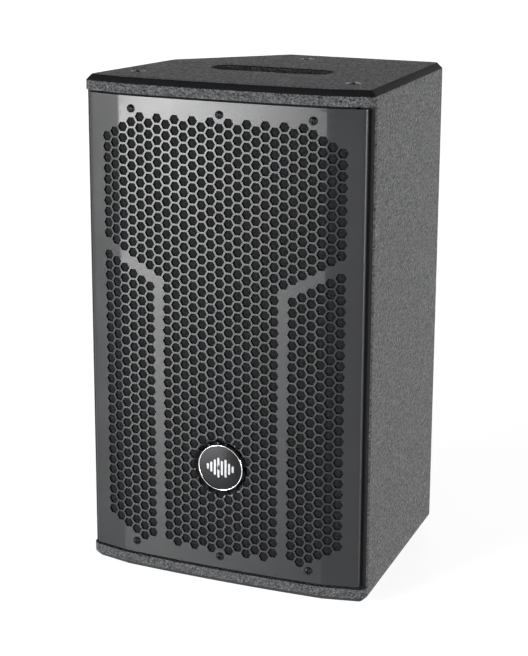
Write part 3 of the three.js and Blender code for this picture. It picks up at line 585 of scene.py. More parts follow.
def punched_sheet():
    """Flat sheet of hexagonal cells about each lattice point: a ring of six quads round an
    open hole, one hexagon where it is plain. Points past the sheet's edge move back to it."""
    edge_x = GRILLE_HALF_W - FOLD_R
    columns, steps = np.meshgrid(np.arange(-16, 17), np.arange(-24, 25), indexing="ij")
    columns, steps = columns.ravel(), steps.ravel()
    rows = steps + np.where(columns % 2, 0.0, 0.5)
    centres = np.stack([columns * PITCH * math.sqrt(0.75), rows * PITCH], 1)
    is_open = hole_open(columns, rows)
    rim = centres[:, None] + hexagon(PITCH)
    hole = centres[is_open][:, None] + hexagon(HOLE_FLATS)
    limit = np.array([edge_x, GRILLE_H / 2])
    rim = np.clip(rim, -limit, limit)
    kept = (np.ptp(rim, 1) > 0.01).all(1)
    plain = (np.arange(len(rim))[:, None] * 6 + np.arange(6))[kept & ~is_open]
    i = np.arange(6)
    j = (i + 1) % 6
    outer = (np.flatnonzero(is_open) * 6)[:, None]
    inner = (len(rim) * 6 + np.arange(is_open.sum()) * 6)[:, None]
    rings = np.stack([outer + i, outer + j, inner + j, inner + i], -1).reshape(-1, 4)
    points = np.concatenate([rim.reshape(-1, 2), hole.reshape(-1, 2)])
    return points, plain.tolist() + rings.tolist()


def side_fold(across):
    """Path round the edge of the sheet, from its face to the back of the flange: (x, y)."""
    lean = math.atan(WING_SLOPE)
    face = np.array([GRILLE_HALF_W - FOLD_R, float(front_y(GRILLE_HALF_W - FOLD_R))])
    centre = face + FOLD_R * np.array([-math.sin(lean), math.cos(lean)])
    t = np.linspace(lean, math.pi / 2, across)
    bend = centre + FOLD_R * np.stack([np.sin(t), -np.cos(t)], 1)
    return np.concatenate([bend, [[bend[-1, 0], FLANGE_Y]]])


def dimple(x, z):
    """Depth of the pressed round dimple: a smooth slope DIMPLE_RIM wide round a flat floor."""
    t = np.clip((DIMPLE_R - np.hypot(x, z - BADGE_Z)) / DIMPLE_RIM, 0, 1)
    return DIMPLE_DEPTH * t * t * (3 - 2 * t)


def powder_coat():
    """Polyester powder baked on steel: dark grey, satin, with a fine orange peel about 1 mm
    across that softens reflections and a faint mottle in its tone."""
    material, tree, shader, place = new_finish("satin_powder_coat")
    peel = add(tree, "ShaderNodeTexNoise", {"Vector": place, "Scale": 1000 / 1.1, "Detail": 1.0})
    cloud = add(tree, "ShaderNodeTexNoise", {"Vector": place, "Scale": 1000 / 45, "Detail": 2.0})
    relief = add(tree, "ShaderNodeBump", {
        "Height": peel.outputs[0], "Distance": 0.00006, "Strength": 1.0})
    shade = add(tree, "ShaderNodeMix", {
        0: cloud.outputs[0], 6: linear("#131416"), 7: linear("#18191b")}, data_type="RGBA")
    gloss = add(tree, "ShaderNodeMapRange", {
        "Value": cloud.outputs[0], "From Min": 0.3, "From Max": 0.7,
        "To Min": 0.33, "To Max": 0.38})
    join_shader(tree, shader, shade, gloss, relief)
    shader.inputs["IOR"].default_value = 1.45
    return material


def grille_piece(finish):
    """Folds the punched sheet into shape and gives it its thickness.
    Straight cuts put an edge on each crease, and the cells round the badge are cut finer."""
    points, faces = punched_sheet()
    mesh = bpy.data.meshes.new("grille_sheet")
    mesh.from_pydata(stood(points, 0).tolist(), [], faces)
    work = bmesh.new()
    work.from_mesh(mesh)
    bmesh.ops.remove_doubles(work, verts=work.verts, dist=1e-3)
    bmesh.ops.dissolve_degenerate(work, edges=work.edges, dist=1e-3)
    loose = [v for v in work.verts if not v.link_faces]
    bmesh.ops.delete(work, geom=loose, context="VERTS")
    for x in (-CREASE_X, CREASE_X):
        whole = work.verts[:] + work.edges[:] + work.faces[:]
        bmesh.ops.bisect_plane(
            work, geom=whole, plane_co=(x, 0, 0), plane_no=(1, 0, 0), dist=1e-3)
    badge = Vector((0, 0, BADGE_Z - MID_Z))
    bmesh.ops.triangulate(work, faces=[
        f for f in work.faces
        if (f.calc_center_median() - badge).length < NEAR_BADGE and len(f.verts) > 4])
    for reach in FINER_WITHIN:
        near = [e for e in work.edges if max((v.co - badge).length for v in e.verts) < reach]
        bmesh.ops.subdivide_edges(work, edges=near, cuts=1, use_grid_fill=True)
    path = side_fold(9)
    for way in (-1, 1):
        edge = [e for e in work.edges if e.is_boundary
                and all(abs(v.co.x - way * (GRILLE_HALF_W - FOLD_R)) < 0.01 for v in e.verts)]
        for at in path[1:]:
            grown = bmesh.ops.extrude_edge_only(work, edges=edge)["geom"]
            edge = [g for g in grown if isinstance(g, bmesh.types.BMEdge)]
            for v in (g for g in grown if isinstance(g, bmesh.types.BMVert)):
                v.co.x = way * at[0]
                v.co.y = at[1]
    place = np.array([v.co for v in work.verts])
    flat = np.abs(place[:, 0]) < GRILLE_HALF_W - FOLD_R + 0.01
    y = np.where(flat & (place[:, 1] == 0), front_y(place[:, 0]), place[:, 1])
    y = y + np.where(flat, dimple(place[:, 0], place[:, 2] + MID_Z), 0)
    shaped = metres(np.column_stack([place[:, 0], y, place[:, 2] + MID_Z]))
    bmesh.ops.recalc_face_normals(work, faces=work.faces)
    if sum(f.normal.y * f.calc_area() for f in work.faces) > 0:
        bmesh.ops.reverse_faces(work, faces=work.faces)
    work.to_mesh(mesh)
    work.free()
    mesh.vertices.foreach_set("co", shaped.ravel())
    mesh.update()
    mesh.materials.append(finish)
    made = bpy.data.objects.new("grille_sheet", mesh)
    bpy.context.scene.collection.objects.link(made)
    thick = made.modifiers.new("sheet", "SOLIDIFY")
    thick.thickness = SHEET * 0.001
    thick.offset = -1
    thick.use_even_offset = True
    bpy.context.view_layer.update()
    made.data = bpy.data.meshes.new_from_object(
        made.evaluated_get(bpy.context.evaluated_depsgraph_get()))
    made.modifiers.clear()
    made.data.shade_smooth()
    made.data.set_sharp_from_angle(angle=math.radians(20))
    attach(made, "cabinet")
    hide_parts("grille")
    return made


COAT = powder_coat()
grille_piece(COAT)


# ---- Foam -----------------------------------------------------------------------------
# Open-cell acoustic foam, 5 mm thick and charcoal, glued to the back of the grille. It
# swells a little into every hole and keeps dust and rain off the speakers.
FOAM = 5
FOAM_SWELL = 0.7
FOAM_HALF_W = GRILLE_HALF_W - SHEET - 2
FOAM_HALF_H = GRILLE_H / 2 - 2


def foam_finish():
    """Reticulated polyurethane foam: an open net of dull charcoal struts about 1.2 mm apart
    with its cells painted dark as the shade inside them, so it looks like grey speckle on black."""
    material, tree, shader, place = new_finish("charcoal_open_cell_foam")
    cells = add(tree, "ShaderNodeTexVoronoi", {"Vector": place, "Scale": 1000 / 1.5})
    fuzz = add(tree, "ShaderNodeTexNoise", {"Vector": place, "Scale": 1000 / 1.3, "Detail": 2.0})
    net = add(tree, "ShaderNodeMath", {
        0: cells.outputs["Distance"], 1: fuzz.outputs[0]}, operation="MULTIPLY")
    # Painted shade: the cells between the struts are near black, as the shade inside them; the
    # struts carry the charcoal tone.
    tone = add(tree, "ShaderNodeMapRange", {
        "Value": net.outputs[0], "From Min": 0.05, "From Max": 0.45})
    shade = add(tree, "ShaderNodeMix", {
        0: tone.outputs[0], 6: linear("#010101"), 7: linear("#1c1d1f")}, data_type="RGBA")
    relief = add(tree, "ShaderNodeBump", {
        "Height": net.outputs[0], "Distance": 0.0012, "Strength": 1.0})
    rough = add(tree, "ShaderNodeMapRange", {
        "Value": fuzz.outputs[0], "To Min": 0.88, "To Max": 1.0})
    join_shader(tree, shader, shade, rough, relief)
    shader.inputs["Specular IOR Level"].default_value = 0.2
    return material


def foam_piece():
    """Two grids, front and back, closed round the edge. The front swells into each hole by
    h (1 - (r / R)^2), r from the hole's middle, and both dip round the badge's dimple."""
    x = np.linspace(-FOAM_HALF_W, FOAM_HALF_W, 121)
    z = np.linspace(-FOAM_HALF_H, FOAM_HALF_H, 199)
    gx, gz = np.meshgrid(x, z, indexing="ij")
    step = PITCH * math.sqrt(0.75)
    column = np.round(gx / step)
    half = np.where(column % 2, 0.0, 0.5)
    row = np.round(gz / PITCH - half) + half
    away = np.hypot(gx - column * step, gz - row * PITCH) / (HOLE_FLATS / 2)
    swell = FOAM_SWELL * np.clip(1 - away ** 2, 0, 1) * hole_open(column, row)
    hollow = 1.25 * dimple(gx, gz + MID_Z)
    front = front_y(gx) + SHEET + 0.3 - swell + hollow
    back = front_y(gx) + SHEET + 0.3 + FOAM + hollow * 0.9
    points = np.concatenate([
        np.stack([gx, front, gz + MID_Z], -1).reshape(-1, 3),
        np.stack([gx, back, gz + MID_Z], -1).reshape(-1, 3)])
    index = np.arange(gx.size).reshape(gx.shape)
    quads = np.stack(
        [index[:-1, :-1], index[1:, :-1], index[1:, 1:], index[:-1, 1:]], -1).reshape(-1, 4)
    edge = np.concatenate([index[:-1, 0], index[-1, :-1], index[:0:-1, -1], index[0, :0:-1]])
    beside = np.roll(edge, -1)
    rim = np.stack([edge, beside, beside + gx.size, edge + gx.size], -1)
    faces = np.concatenate([quads, quads[:, ::-1] + gx.size, rim])
    return piece("foam_sheet", points, faces, foam_finish(),
                 nodes=["grille_foam"], smooth=60)


foam = foam_piece()


# ---- Grille screws --------------------------------------------------------------------
# Six M4 oval-head screws, blackened steel with a cross recess, through the grille's top and
# bottom margins into the battens behind it.
GRILLE_SCREW_X = 80.5
GRILLE_SCREW_Z = 192.5
HEAD_R = 3.5


def turned(profile, sides=48):
    """Revolves a closed profile of (radius, along) pairs: x = r cos t, z = r sin t, y along."""
    r, along = np.array([*profile, profile[0]], float).T
    t = np.arange(sides) * 2 * math.pi / sides
    rings = np.stack([
        r[:, None] * np.cos(t), np.repeat(along[:, None], sides, 1), r[:, None] * np.sin(t)], -1)
    return rings.reshape(-1, 3), skin(rings)


def cross_recess(arm, half_width, sides):
    """Radius of a plus-shaped outline at each angle: arm / |cos t| at the ends of the arms,
    half_width / |sin t| along them, whichever is nearer to the middle."""
    t = np.arange(sides) * 2 * math.pi / sides
    c, s = np.abs(np.cos(t)), np.abs(np.sin(t))
    big, small = np.maximum(c, s), np.minimum(c, s)
    return np.minimum(arm / big, half_width / np.maximum(small, 1e-6))


def screw_mesh(head_r, dome, shaft_r, length, sides=40):
    """Rings from the bottom of the cross recess over the domed head and down to the tip.
    Along is 0 at the head's seat, and the head stands on its negative side."""
    t = np.arange(sides) * 2 * math.pi / sides
    recess = cross_recess(head_r * 0.62, head_r * 0.16, sides)
    radii = [0 * t, recess * 0.5, recess, head_r * 0.75 + 0 * t, head_r * 0.96 + 0 * t,
             head_r + 0 * t, head_r + 0 * t, shaft_r + 0 * t, shaft_r + 0 * t, 0 * t]
    along = [-dome * 0.2, -dome * 0.2, -dome * 0.98, -dome * 0.8, -dome * 0.45,
             -dome * 0.2, 0, 0, length - shaft_r, length]
    rings = np.stack([
        np.stack([r * np.cos(t), y + 0 * t, r * np.sin(t)], -1) for r, y in zip(radii, along)])
    return rings.reshape(-1, 3), skin(rings)


def grained(name, dark, light, grain, rough, relief, stretch=(1, 1, 1), **sockets):
    """A finish whose tone, gloss and relief all follow one noise. dark and light are its two
    tones, grain its grain in mm, rough its least and most roughness, relief its height in mm."""
    material, tree, shader, place = new_finish(name)
    grid = add(tree, "ShaderNodeMapping", {"Vector": place, "Scale": stretch})
    noise = add(tree, "ShaderNodeTexNoise", {
        "Vector": grid.outputs[0], "Scale": 1000 / grain, "Detail": 3.0})
    tone = add(tree, "ShaderNodeMapRange", {
        "Value": noise.outputs[0], "From Min": 0.3, "From Max": 0.7})
    shade = add(tree, "ShaderNodeMix", {
        0: tone.outputs[0], 6: linear(dark), 7: linear(light)}, data_type="RGBA")
    gloss = add(tree, "ShaderNodeMapRange", {
        "Value": tone.outputs[0], "To Min": rough[0], "To Max": rough[1]})
    bump = add(tree, "ShaderNodeBump", {
        "Height": noise.outputs[0], "Distance": relief * 0.001, "Strength": 1.0})
    join_shader(tree, shader, shade, gloss, bump)
    for socket, value in sockets.items():
        shader.inputs[socket.replace("_", " ")].default_value = value
    return material


BLACK_OXIDE = grained(
    "black_oxide_steel", "#121315", "#232427", 3, (0.32, 0.5), 0.01, Metallic=0.75)
points, faces = screw_mesh(HEAD_R, 1.7, 2, 16)
for i in range(6):
    x = (i % 3 - 1) * GRILLE_SCREW_X
    z = MID_Z + (GRILLE_SCREW_Z if i < 3 else -GRILLE_SCREW_Z)
    piece(f"grille_fixing_{i + 1}", points + (x, float(front_y(x)) - 0.1, z), faces, BLACK_OXIDE,
          nodes=[f"grille_screw_{i + 1}"])


# ---- Badge ----------------------------------------------------------------------------
# A low-domed disc of gloss black acrylic in a bright chromed ring, glued into the grille's
# dimple. Its mark is plain: a row of silver bars of different heights, like a level meter.
BADGE_R = 20.5
RING_W = 1.1
BADGE_FRONT = DIMPLE_DEPTH - 3.4
DOME = 0.9
BAR_HEIGHTS = [5, 9, 14, 18, 13, 16, 10, 6]
BAR_W = 1.9
BAR_GAP = 1.4


def dome_y(x, z):
    """Front of the domed disc at a point from its middle: f - d (1 - (r / R)^2)."""
    return BADGE_FRONT - DOME * (1 - (x ** 2 + z ** 2) / BADGE_R ** 2)


def badge_disc(finish):
    """The disc: rings from its domed middle out to its wall and back to its flat rear."""
    r = np.linspace(0, BADGE_R - RING_W, 12)
    back = DIMPLE_DEPTH - 0.3
    profile = [*zip(r, dome_y(r, 0)), (BADGE_R - RING_W, back), (0, back)]
    points, faces = turned(profile, 72)
    return piece("badge_disc", points + (0, 0, BADGE_Z), faces, finish,
                 nodes=["badge"], smooth=50)


def meter_bars(finish):
    """Bars of the mark: thin slabs that follow the dome, 0.15 mm proud of it."""
    solids, faces = [], []
    count = len(BAR_HEIGHTS)
    for i, height in enumerate(BAR_HEIGHTS):
        x0 = (i - (count - 1) / 2) * (BAR_W + BAR_GAP)
        edge = frame_outline(BAR_W, height, BAR_W * 0.45, 4) + (x0, 0)
        front = np.column_stack([edge[:, 0], dome_y(*edge.T) - 0.15, edge[:, 1]])
        rear = front + (0, 0.4, 0)
        first = sum(len(s) for s in solids)
        n = len(edge)
        solids.append(np.concatenate([front, rear]))
        faces += skin(np.stack([front, rear]), first).tolist()
        faces += [list(range(first, first + n)),
                  list(range(first + 2 * n - 1, first + n - 1, -1))]
    return piece("badge_mark", np.concatenate(solids) + (0, 0, BADGE_Z), faces, finish,
                 smooth=30)


def badge_ring(finish):
    """The ring: a half-round bead 1.1 mm wide, carried round the disc."""
    t = np.linspace(0, math.pi, 9)
    bead = [(BADGE_R - RING_W / 2 - RING_W / 2 * math.cos(a),
             BADGE_FRONT - 0.1 - 0.8 * math.sin(a)) for a in t]
    profile = [*bead, (BADGE_R, DIMPLE_DEPTH - 0.3), (BADGE_R - RING_W, DIMPLE_DEPTH - 0.3)]
    points, faces = turned(profile, 96)
    return piece("badge_rim", points + (0, 0, BADGE_Z), faces, finish,
                 nodes=["badge_ring"], smooth=50)


GLOSS_BLACK = grained("gloss_black_acrylic", "#070708", "#0c0c0e", 14, (0.12, 0.18), 0.002,
                      Specular_IOR_Level=0.22)
CHROME = grained("bright_chrome", "#d8dadc", "#ececee", 6, (0.08, 0.14), 0.002, Metallic=1.0)
SILVER_INK = grained("silver_ink", "#8c8e91", "#a6a8ab", 4, (0.35, 0.5), 0.002, Metallic=0.6)
badge_disc(GLOSS_BLACK)
meter_bars(SILVER_INK)
badge_ring(CHROME)


# ---- Rigging points -------------------------------------------------------------------
# Threaded steel inserts, zinc plated and pressed flush into the top panel, each closed by a
# black countersunk screw with a hexagon socket until an eye bolt is fitted.
RIGGING = [(-94, 44), (99, 44), (10, 178)]
BUSH_R = 6.5


def stands(points, x, y, z):
    """Turns points made about the Y axis so that along points up, and puts them in place."""
    return np.stack([points[:, 0], -points[:, 2], points[:, 1]], -1) + (x, y, z)


ZINC = grained("zinc_plated_steel", "#8f9194", "#b9bbbe", 2.5, (0.22, 0.38), 0.006, Metallic=1.0)
insert, insert_faces = turned([
    (4.3, 0.3 - PLY), (BUSH_R, 0.3 - PLY), (BUSH_R, -0.4), (BUSH_R - 0.3, 0.15),
    (BUSH_R - 0.9, 0.3), (BUSH_R - 1.5, 0.1), (4.3, -2.4)], 48)
t = np.arange(36) * 2 * math.pi / 36
key = 2.6 / np.cos((t + math.pi / 6) % (math.pi / 3) - math.pi / 6)
plug_rings = [(0 * t, -2.4), (key * 0.9, -2.4), (key, -0.6), (key * 1.08, -0.4),
              (4.7 + 0 * t, -0.4),
              (5.1 + 0 * t, -0.7), (3.9 + 0 * t, -2.7), (3.9 + 0 * t, 1 - PLY), (0 * t, 1 - PLY)]
plug_rings = np.stack([
    np.stack([r * np.cos(t), a + 0 * t, r * np.sin(t)], -1) for r, a in plug_rings])
for i, (x, y) in enumerate(RIGGING):
    piece(f"rigging_insert_{i + 1}", stands(insert, x, y, BOX_TOP), insert_faces, ZINC,
          nodes=[f"rigging_bush_{i + 1}"])
    piece(f"rigging_plug_{i + 1}", stands(plug_rings.reshape(-1, 3), x, y, BOX_TOP),
          skin(plug_rings), BLACK_OXIDE,
          nodes=[f"rigging_screw_{i + 1}"])
    n = 48
    hole = np.stack([np.column_stack([circle(BUSH_R, n) + (x, y), np.full(n, z)])
                     for z in (BOX_TOP - PLY - 1, BOX_TOP + 1)])
    opened(top_panel, hole.reshape(-1, 3),
           skin(hole).tolist() + [list(range(n)), list(range(2 * n - 1, n - 1, -1))])


# ---- Handle pocket --------------------------------------------------------------------
# A moulded black ABS cup glued under the hand slot, 45 mm deep, so that fingers close on
# the softened front edge of the slot and the cabinet stays airtight.
CUP_DEPTH = 45


def cup_piece(finish):
    """Stadium rings: in under the rim, down the inside, over the floor's fillet to the floor,
    then the floor's underside and back up the outside."""
    top = BOX_TOP - PLY - 0.1
    floor_z = top - CUP_DEPTH
    t = np.linspace(0, math.pi / 2, 7)
    rings = [(SLOT_L + 20, SLOT_W + 20, top - 2.5), (SLOT_L + 20, SLOT_W + 20, top),
             (SLOT_L + 2, SLOT_W + 2, top)]
    rings += [(SLOT_L + 2 - 12 * (1 - math.cos(a)), SLOT_W + 2 - 12 * (1 - math.cos(a)),
               floor_z + 2.5 + 6 * (1 - math.sin(a))) for a in t]
    inner_count = len(rings)
    rings += [(SLOT_L + 6 - 12 * (1 - math.cos(a)), SLOT_W + 6 - 12 * (1 - math.cos(a)),
               floor_z + 6 * (1 - math.sin(a))) for a in t[::-1]]
    rings += [(SLOT_L + 6, SLOT_W + 6, top - 2.5)]
    loops = np.stack([
        np.column_stack([stadium(length, width) + SLOT_MIDDLE, np.full(34, z)])
        for length, width, z in rings])
    n = loops.shape[1]
    faces = [f for k in range(len(rings)) if k != inner_count - 1
             for f in (skin(loops[[k, (k + 1) % len(rings)]]) % n
                       + np.repeat([k * n, (k + 1) % len(rings) * n], 2))]
    faces = [list(f) for f in faces]
    faces += [list(range((inner_count - 1) * n, inner_count * n)),
              list(range((inner_count + 1) * n - 1, inner_count * n - 1, -1))]
    return piece("handle_pocket", loops.reshape(-1, 3), faces, finish,
                 nodes=["handle_cup"])


BLACK_ABS = grained("moulded_black_abs", "#141517", "#1e1f21", 0.9, (0.45, 0.6), 0.03)
cup_piece(BLACK_ABS)


# ---- Battens --------------------------------------------------------------------------
# Two strips of ply glued behind the grille's margins, stained black, which the grille
# screws bite into. They keep the shape that they are cut to.
def wear(finish, *names):
    """Gives a finish to parts that keep their shape."""
    for name in names:
        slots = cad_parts[name].data.materials
        slots.clear()
        slots.append(finish)


STAIN = grained(
    "black_stained_ply", "#0d0d0e", "#18181a", 2.0, (0.8, 0.95), 0.05, stretch=(0.1, 1, 1))
wear(STAIN, "grille_batten_top", "grille_batten_bottom")


# ---- Feet -----------------------------------------------------------------------------
# Four round feet of black natural rubber, moulded with a softened edge and a sunk screw
# seat, and screwed to the bottom panel.
FEET = [(-105, 35), (105, 35), (105, 187), (-75, 130)]
FOOT_R = 12
RUBBER = grained("moulded_rubber", "#101011", "#1c1c1d", 1.2, (0.72, 0.88), 0.03)
foot, foot_faces = turned([
    (0, 2.2), (3.6, 2.2), (3.9, 0.5), (4.4, 0), (FOOT_R - 1.5, 0), (FOOT_R - 0.6, 0.3),
    (FOOT_R - 0.15, 1.0), (FOOT_R, 2.0), (FOOT_R, FOOT_H - 0.1), (0, FOOT_H - 0.1)])
for i, (x, y) in enumerate(FEET):
    piece(f"rubber_foot_{i + 1}", stands(foot, x, y, 0), foot_faces, RUBBER,
          nodes=[f"foot_{i + 1}"])


# ---- Stand socket ---------------------------------------------------------------------
# A deep-drawn steel cup for a 35 mm stand tube, coated black and screwed up into the bottom
# panel. It keeps the shape that it is drawn to.
PRESSED_STEEL = grained(
    "black_coated_pressed_steel", "#0f1011", "#1d1e20", 1.4, (0.38, 0.55), 0.03, Metallic=0.2)
wear(PRESSED_STEEL, "pole_socket")


# ---- Input plate ----------------------------------------------------------------------
# A steel plate pressed into a deep dish and coated black, screwed over the opening in the
# rear wall, so that the two sockets lie behind the rear face and are safe from knocks.
PLATE_SIZE = (120, 100)
DISH_SIZE = (DISH_W, DISH_H)
DISH_FLOOR_Y = 180
DISH_STEEL = 1.5
PLATE_BACK_Y = DEPTH + 0.3
SOCKET_X = 20
SOCKET_HOLE_R = 12.3


def plate_ring(grow, radius, size=DISH_SIZE):
    """Outline of the dish, or of the plate, grown by a margin on every side."""
    return frame_outline(size[0] + 2 * grow, size[1] + 2 * grow, radius)


def input_plate(finish):
    """Loops from the dish floor's underside out and up to the flange, over its softened
    edge, and down the dish to the floor's face. Both floor faces are filled round the holes."""
    front = PLATE_BACK_Y + DISH_STEEL
    floor = DISH_FLOOR_Y + DISH_STEEL
    levels = [
        (plate_ring(-3, 5), DISH_FLOOR_Y), (plate_ring(-0.8, 7), DISH_FLOOR_Y + 0.9),
        (plate_ring(0, 8), DISH_FLOOR_Y + 3), (plate_ring(0, 8), PLATE_BACK_Y),
        (plate_ring(0, 5, PLATE_SIZE), PLATE_BACK_Y), (plate_ring(0, 5, PLATE_SIZE), front - 0.6),
        (plate_ring(-0.2, 4.8, PLATE_SIZE), front - 0.2),
        (plate_ring(-0.6, 4.4, PLATE_SIZE), front),
        (plate_ring(1.2, 9.2), front), (plate_ring(-0.2, 7.8), front - 0.4),
        (plate_ring(-1.2, 6.8), front - 1.5), (plate_ring(-1.5, 6.5), front - 3),
        (plate_ring(-1.5, 6.5), floor + 3), (plate_ring(-2.3, 5.7), floor + 0.9),
        (plate_ring(-4.5, 3.5), floor)]
    rings = np.stack([np.column_stack([xz, np.full(len(xz), y)]) for xz, y in levels])
    points, faces = [rings.reshape(-1, 3)], skin(rings).tolist()
    around = rings.shape[1]
    ends = [[np.arange(around)], [np.arange(around) + (len(levels) - 1) * around]]
    first = len(levels) * around
    for side in (-SOCKET_X, SOCKET_X):
        hole = circle(SOCKET_HOLE_R, 40) + (side, 0)
        bore = np.stack([
            np.column_stack([hole, np.full(40, y)]) for y in (DISH_FLOOR_Y, floor)])
        faces += skin(bore, first).tolist()
        points.append(bore.reshape(-1, 3))
        ends[0].append(np.arange(40) + first)
        ends[1].append(np.arange(40) + first + 40)
        first += 80
    points = np.concatenate(points)
    for index in ends:
        flat = np.concatenate(index)
        triangles = tessellate_polygon([[Vector(p) for p in points[i]] for i in index])
        faces += [[flat[a], flat[b], flat[c]] for a, b, c in triangles]
    placed = points[:, [0, 2, 1]] + (PLATE_X, 0, PLATE_Z)
    return piece("input_dish", placed, faces, finish,
                 nodes=["input_plate"])


input_plate(PRESSED_STEEL)


# ---- Input and link sockets -----------------------------------------------------------
# Two four-pole twist-lock loudspeaker sockets in glass-filled black nylon: a flange, a
# raised collar, and a ring-shaped well round a centre post that carries the contacts.
SOCKET_SEAT_Y = DISH_FLOOR_Y + DISH_STEEL + 0.3
NYLON = grained("glass_filled_nylon", "#121213", "#1f2022", 0.7, (0.42, 0.58), 0.02)
barrel, barrel_faces = turned([
    (0, -22), (11, -22), (12, -21), (12, 2.6), (11.8, 3.5), (11.3, 3.9), (10.7, 3.7), (10.3, 3),
    (10.3, -15), (5, -15), (5, 0.4), (4.6, 0.9), (0, 0.9)], 48)
socket_flange, socket_flange_faces = board_mesh(
    frame_outline(26, 31, 3), [circle(12.05, 48)],
    [(0, 0), (0, 2), (0.5, 2.5)], [(0, 0), (0, 2.5)])
socket_flange = socket_flange[:, [0, 2, 1]]
socket_points = np.concatenate([barrel, socket_flange])
socket_faces = barrel_faces.tolist() + [
    [k + len(barrel) for k in face] for face in socket_flange_faces]
for side, node in ((-1, "link_socket"), (1, "input_socket")):
    place = (PLATE_X + side * SOCKET_X, SOCKET_SEAT_Y, PLATE_Z)
    piece(f"twist_lock_{node}", socket_points + place, socket_faces, NYLON,
          nodes=[node])


# ---- Woofer ---------------------------------------------------------------------------
# An 8 inch driver: pressed steel basket, rubber roll surround, ribbed paper cone, cloth
# spider and a ferrite magnet. Cone, dust cap and voice coil move together along Y.
WOOFER_Z = 133
CONE_RIM_Y = 20.7
CONE_STEP = 4
COIL_INNER_R = 20
SPIDER_RIM_R = 56
SPIDER_Y = 70.2


def strip(radius, along, thick):
    """Closed profile of a sheet: the line along its front, then back along the line behind."""
    return [*zip(radius, along), *zip(radius[::-1], (along + thick)[::-1])]


roll = np.linspace(math.pi, 0, 21)
roll_r = np.concatenate([[75], 85.5 + 5.5 * np.cos(roll), [95]])
roll_y = np.concatenate([
    [CONE_RIM_Y - 1.3],
    CONE_RIM_Y - 1.3 + CONE_STEP * (1 - roll / math.pi) - 5.7 * np.sin(roll),
    [CONE_RIM_Y - 1.3 + CONE_STEP]])
points, faces = turned(strip(roll_r, roll_y, 0.9), 96)
SURROUND = grained("butyl_rubber", "#0e0e0f", "#19191a", 1.5, (0.55, 0.7), 0.02)
roll_piece = piece("rubber_surround", points + (0, 0, WOOFER_Z), faces, SURROUND, body=None,
                   nodes=["woofer_surround"])


def carried_by_cone(sheet):
    """Bakes the sheet's placement into its points."""
    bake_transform(sheet)


carried_by_cone(roll_piece)

PULP = grained("pressed_paper_pulp", "#17181a", "#2b2c2e", 1.1, (0.75, 0.9), 0.08)
cone_r = np.linspace(19.8, 79, 75)
cone_y = CONE_RIM_Y + 0.25 + (75 - cone_r) / 55.2 * 41.3
cone_y += 0.25 * np.sin((cone_r - 30) * 0.8) * np.clip((cone_r - 32) / 8, 0, 1)
cone_y = np.where(cone_r > 75, CONE_RIM_Y + 0.1, cone_y)
points, faces = turned(strip(cone_r, cone_y, 1.0), 96)
piece("paper_cone", points + (0, 0, WOOFER_Z), faces, PULP, body="woofer_moving",
      nodes=["woofer_cone"])

cap_r = np.linspace(0, 28.4, 20)
points, faces = turned(strip(cap_r, 43.1 + 11.8 * (cap_r / 28.4) ** 2, 0.7), 64)
piece("paper_dust_cap", points + (0, 0, WOOFER_Z), faces, PULP, body="woofer_moving",
      nodes=["dust_cap"])

WEAVE = grained("phenolic_cotton", "#7c5a34", "#b58c56", 0.8, (0.8, 0.95), 0.1)
web_r = np.linspace(COIL_INNER_R, SPIDER_RIM_R, 109)
wave = np.where((web_r > 23) & (web_r < 49), np.cos((web_r - 23) / 26 * 8 * math.pi) - 1, 0)
web_y = SPIDER_Y - CONE_STEP * (SPIDER_RIM_R - web_r) / (SPIDER_RIM_R - COIL_INNER_R) + wave * 0.6
points, faces = turned(strip(web_r, web_y, 0.8), 72)
web = piece("cloth_spider", points + (0, 0, WOOFER_Z), faces, WEAVE, body=None,
            nodes=["woofer_spider"])
carried_by_cone(web)

COPPER = grained("enamelled_copper_wire", "#8a4a22", "#b8692f", 0.6, (0.25, 0.4), 0.05,
                 stretch=(0.2, 1.6, 0.2), Metallic=1.0)
FERRITE = grained("sintered_ferrite", "#262628", "#38383a", 1.5, (0.6, 0.78), 0.05)
wear(PRESSED_STEEL, "woofer_basket")
wear(COPPER, "voice_coil")
wear(ZINC, "woofer_front_plate", "woofer_yoke")
wear(FERRITE, "woofer_magnet")
screw_points, screw_faces = screw_mesh(HEAD_R, 1.7, 2, 16)
for name in sorted(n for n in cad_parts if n.startswith("woofer_screw_")):
    low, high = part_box(name)
    middle = np.array([low.x + high.x, 0, low.z + high.z]) * 500
    middle -= (MIDDLE[0] * 1000, 0, 0)
    piece(name.replace("screw", "fixing"), screw_points + middle + (0, 24.6, 0), screw_faces,
          BLACK_OXIDE, nodes=[name])


# ---- Horn and compression driver --------------------------------------------------------
# A moulded ABS horn with a compression driver bolted to its throat: two steel plates round
# a ferrite ring, a pole, a titanium foil dome that moves along Y, and a moulded rear cover.
HORN_Z = 340
DOME_Y = 119
TITANIUM = grained("titanium_foil", "#85878a", "#a9abae", 2.0, (0.28, 0.4), 0.01, Metallic=1.0)
wear(BLACK_ABS, "horn", "driver_rear_cover")
wear(PRESSED_STEEL, "driver_front_plate")
wear(FERRITE, "driver_magnet")
wear(ZINC, "driver_pole")
dome_r = np.linspace(0, 22, 34)
dome_y = np.where(dome_r < 18, DOME_Y + 7 - 7 * (dome_r / 18) ** 2, DOME_Y)
points, faces = turned(strip(dome_r, dome_y, 0.6), 64)
piece("foil_dome", points + (0, 0, HORN_Z), faces, TITANIUM, body="diaphragm_moving",
      nodes=["driver_diaphragm"])


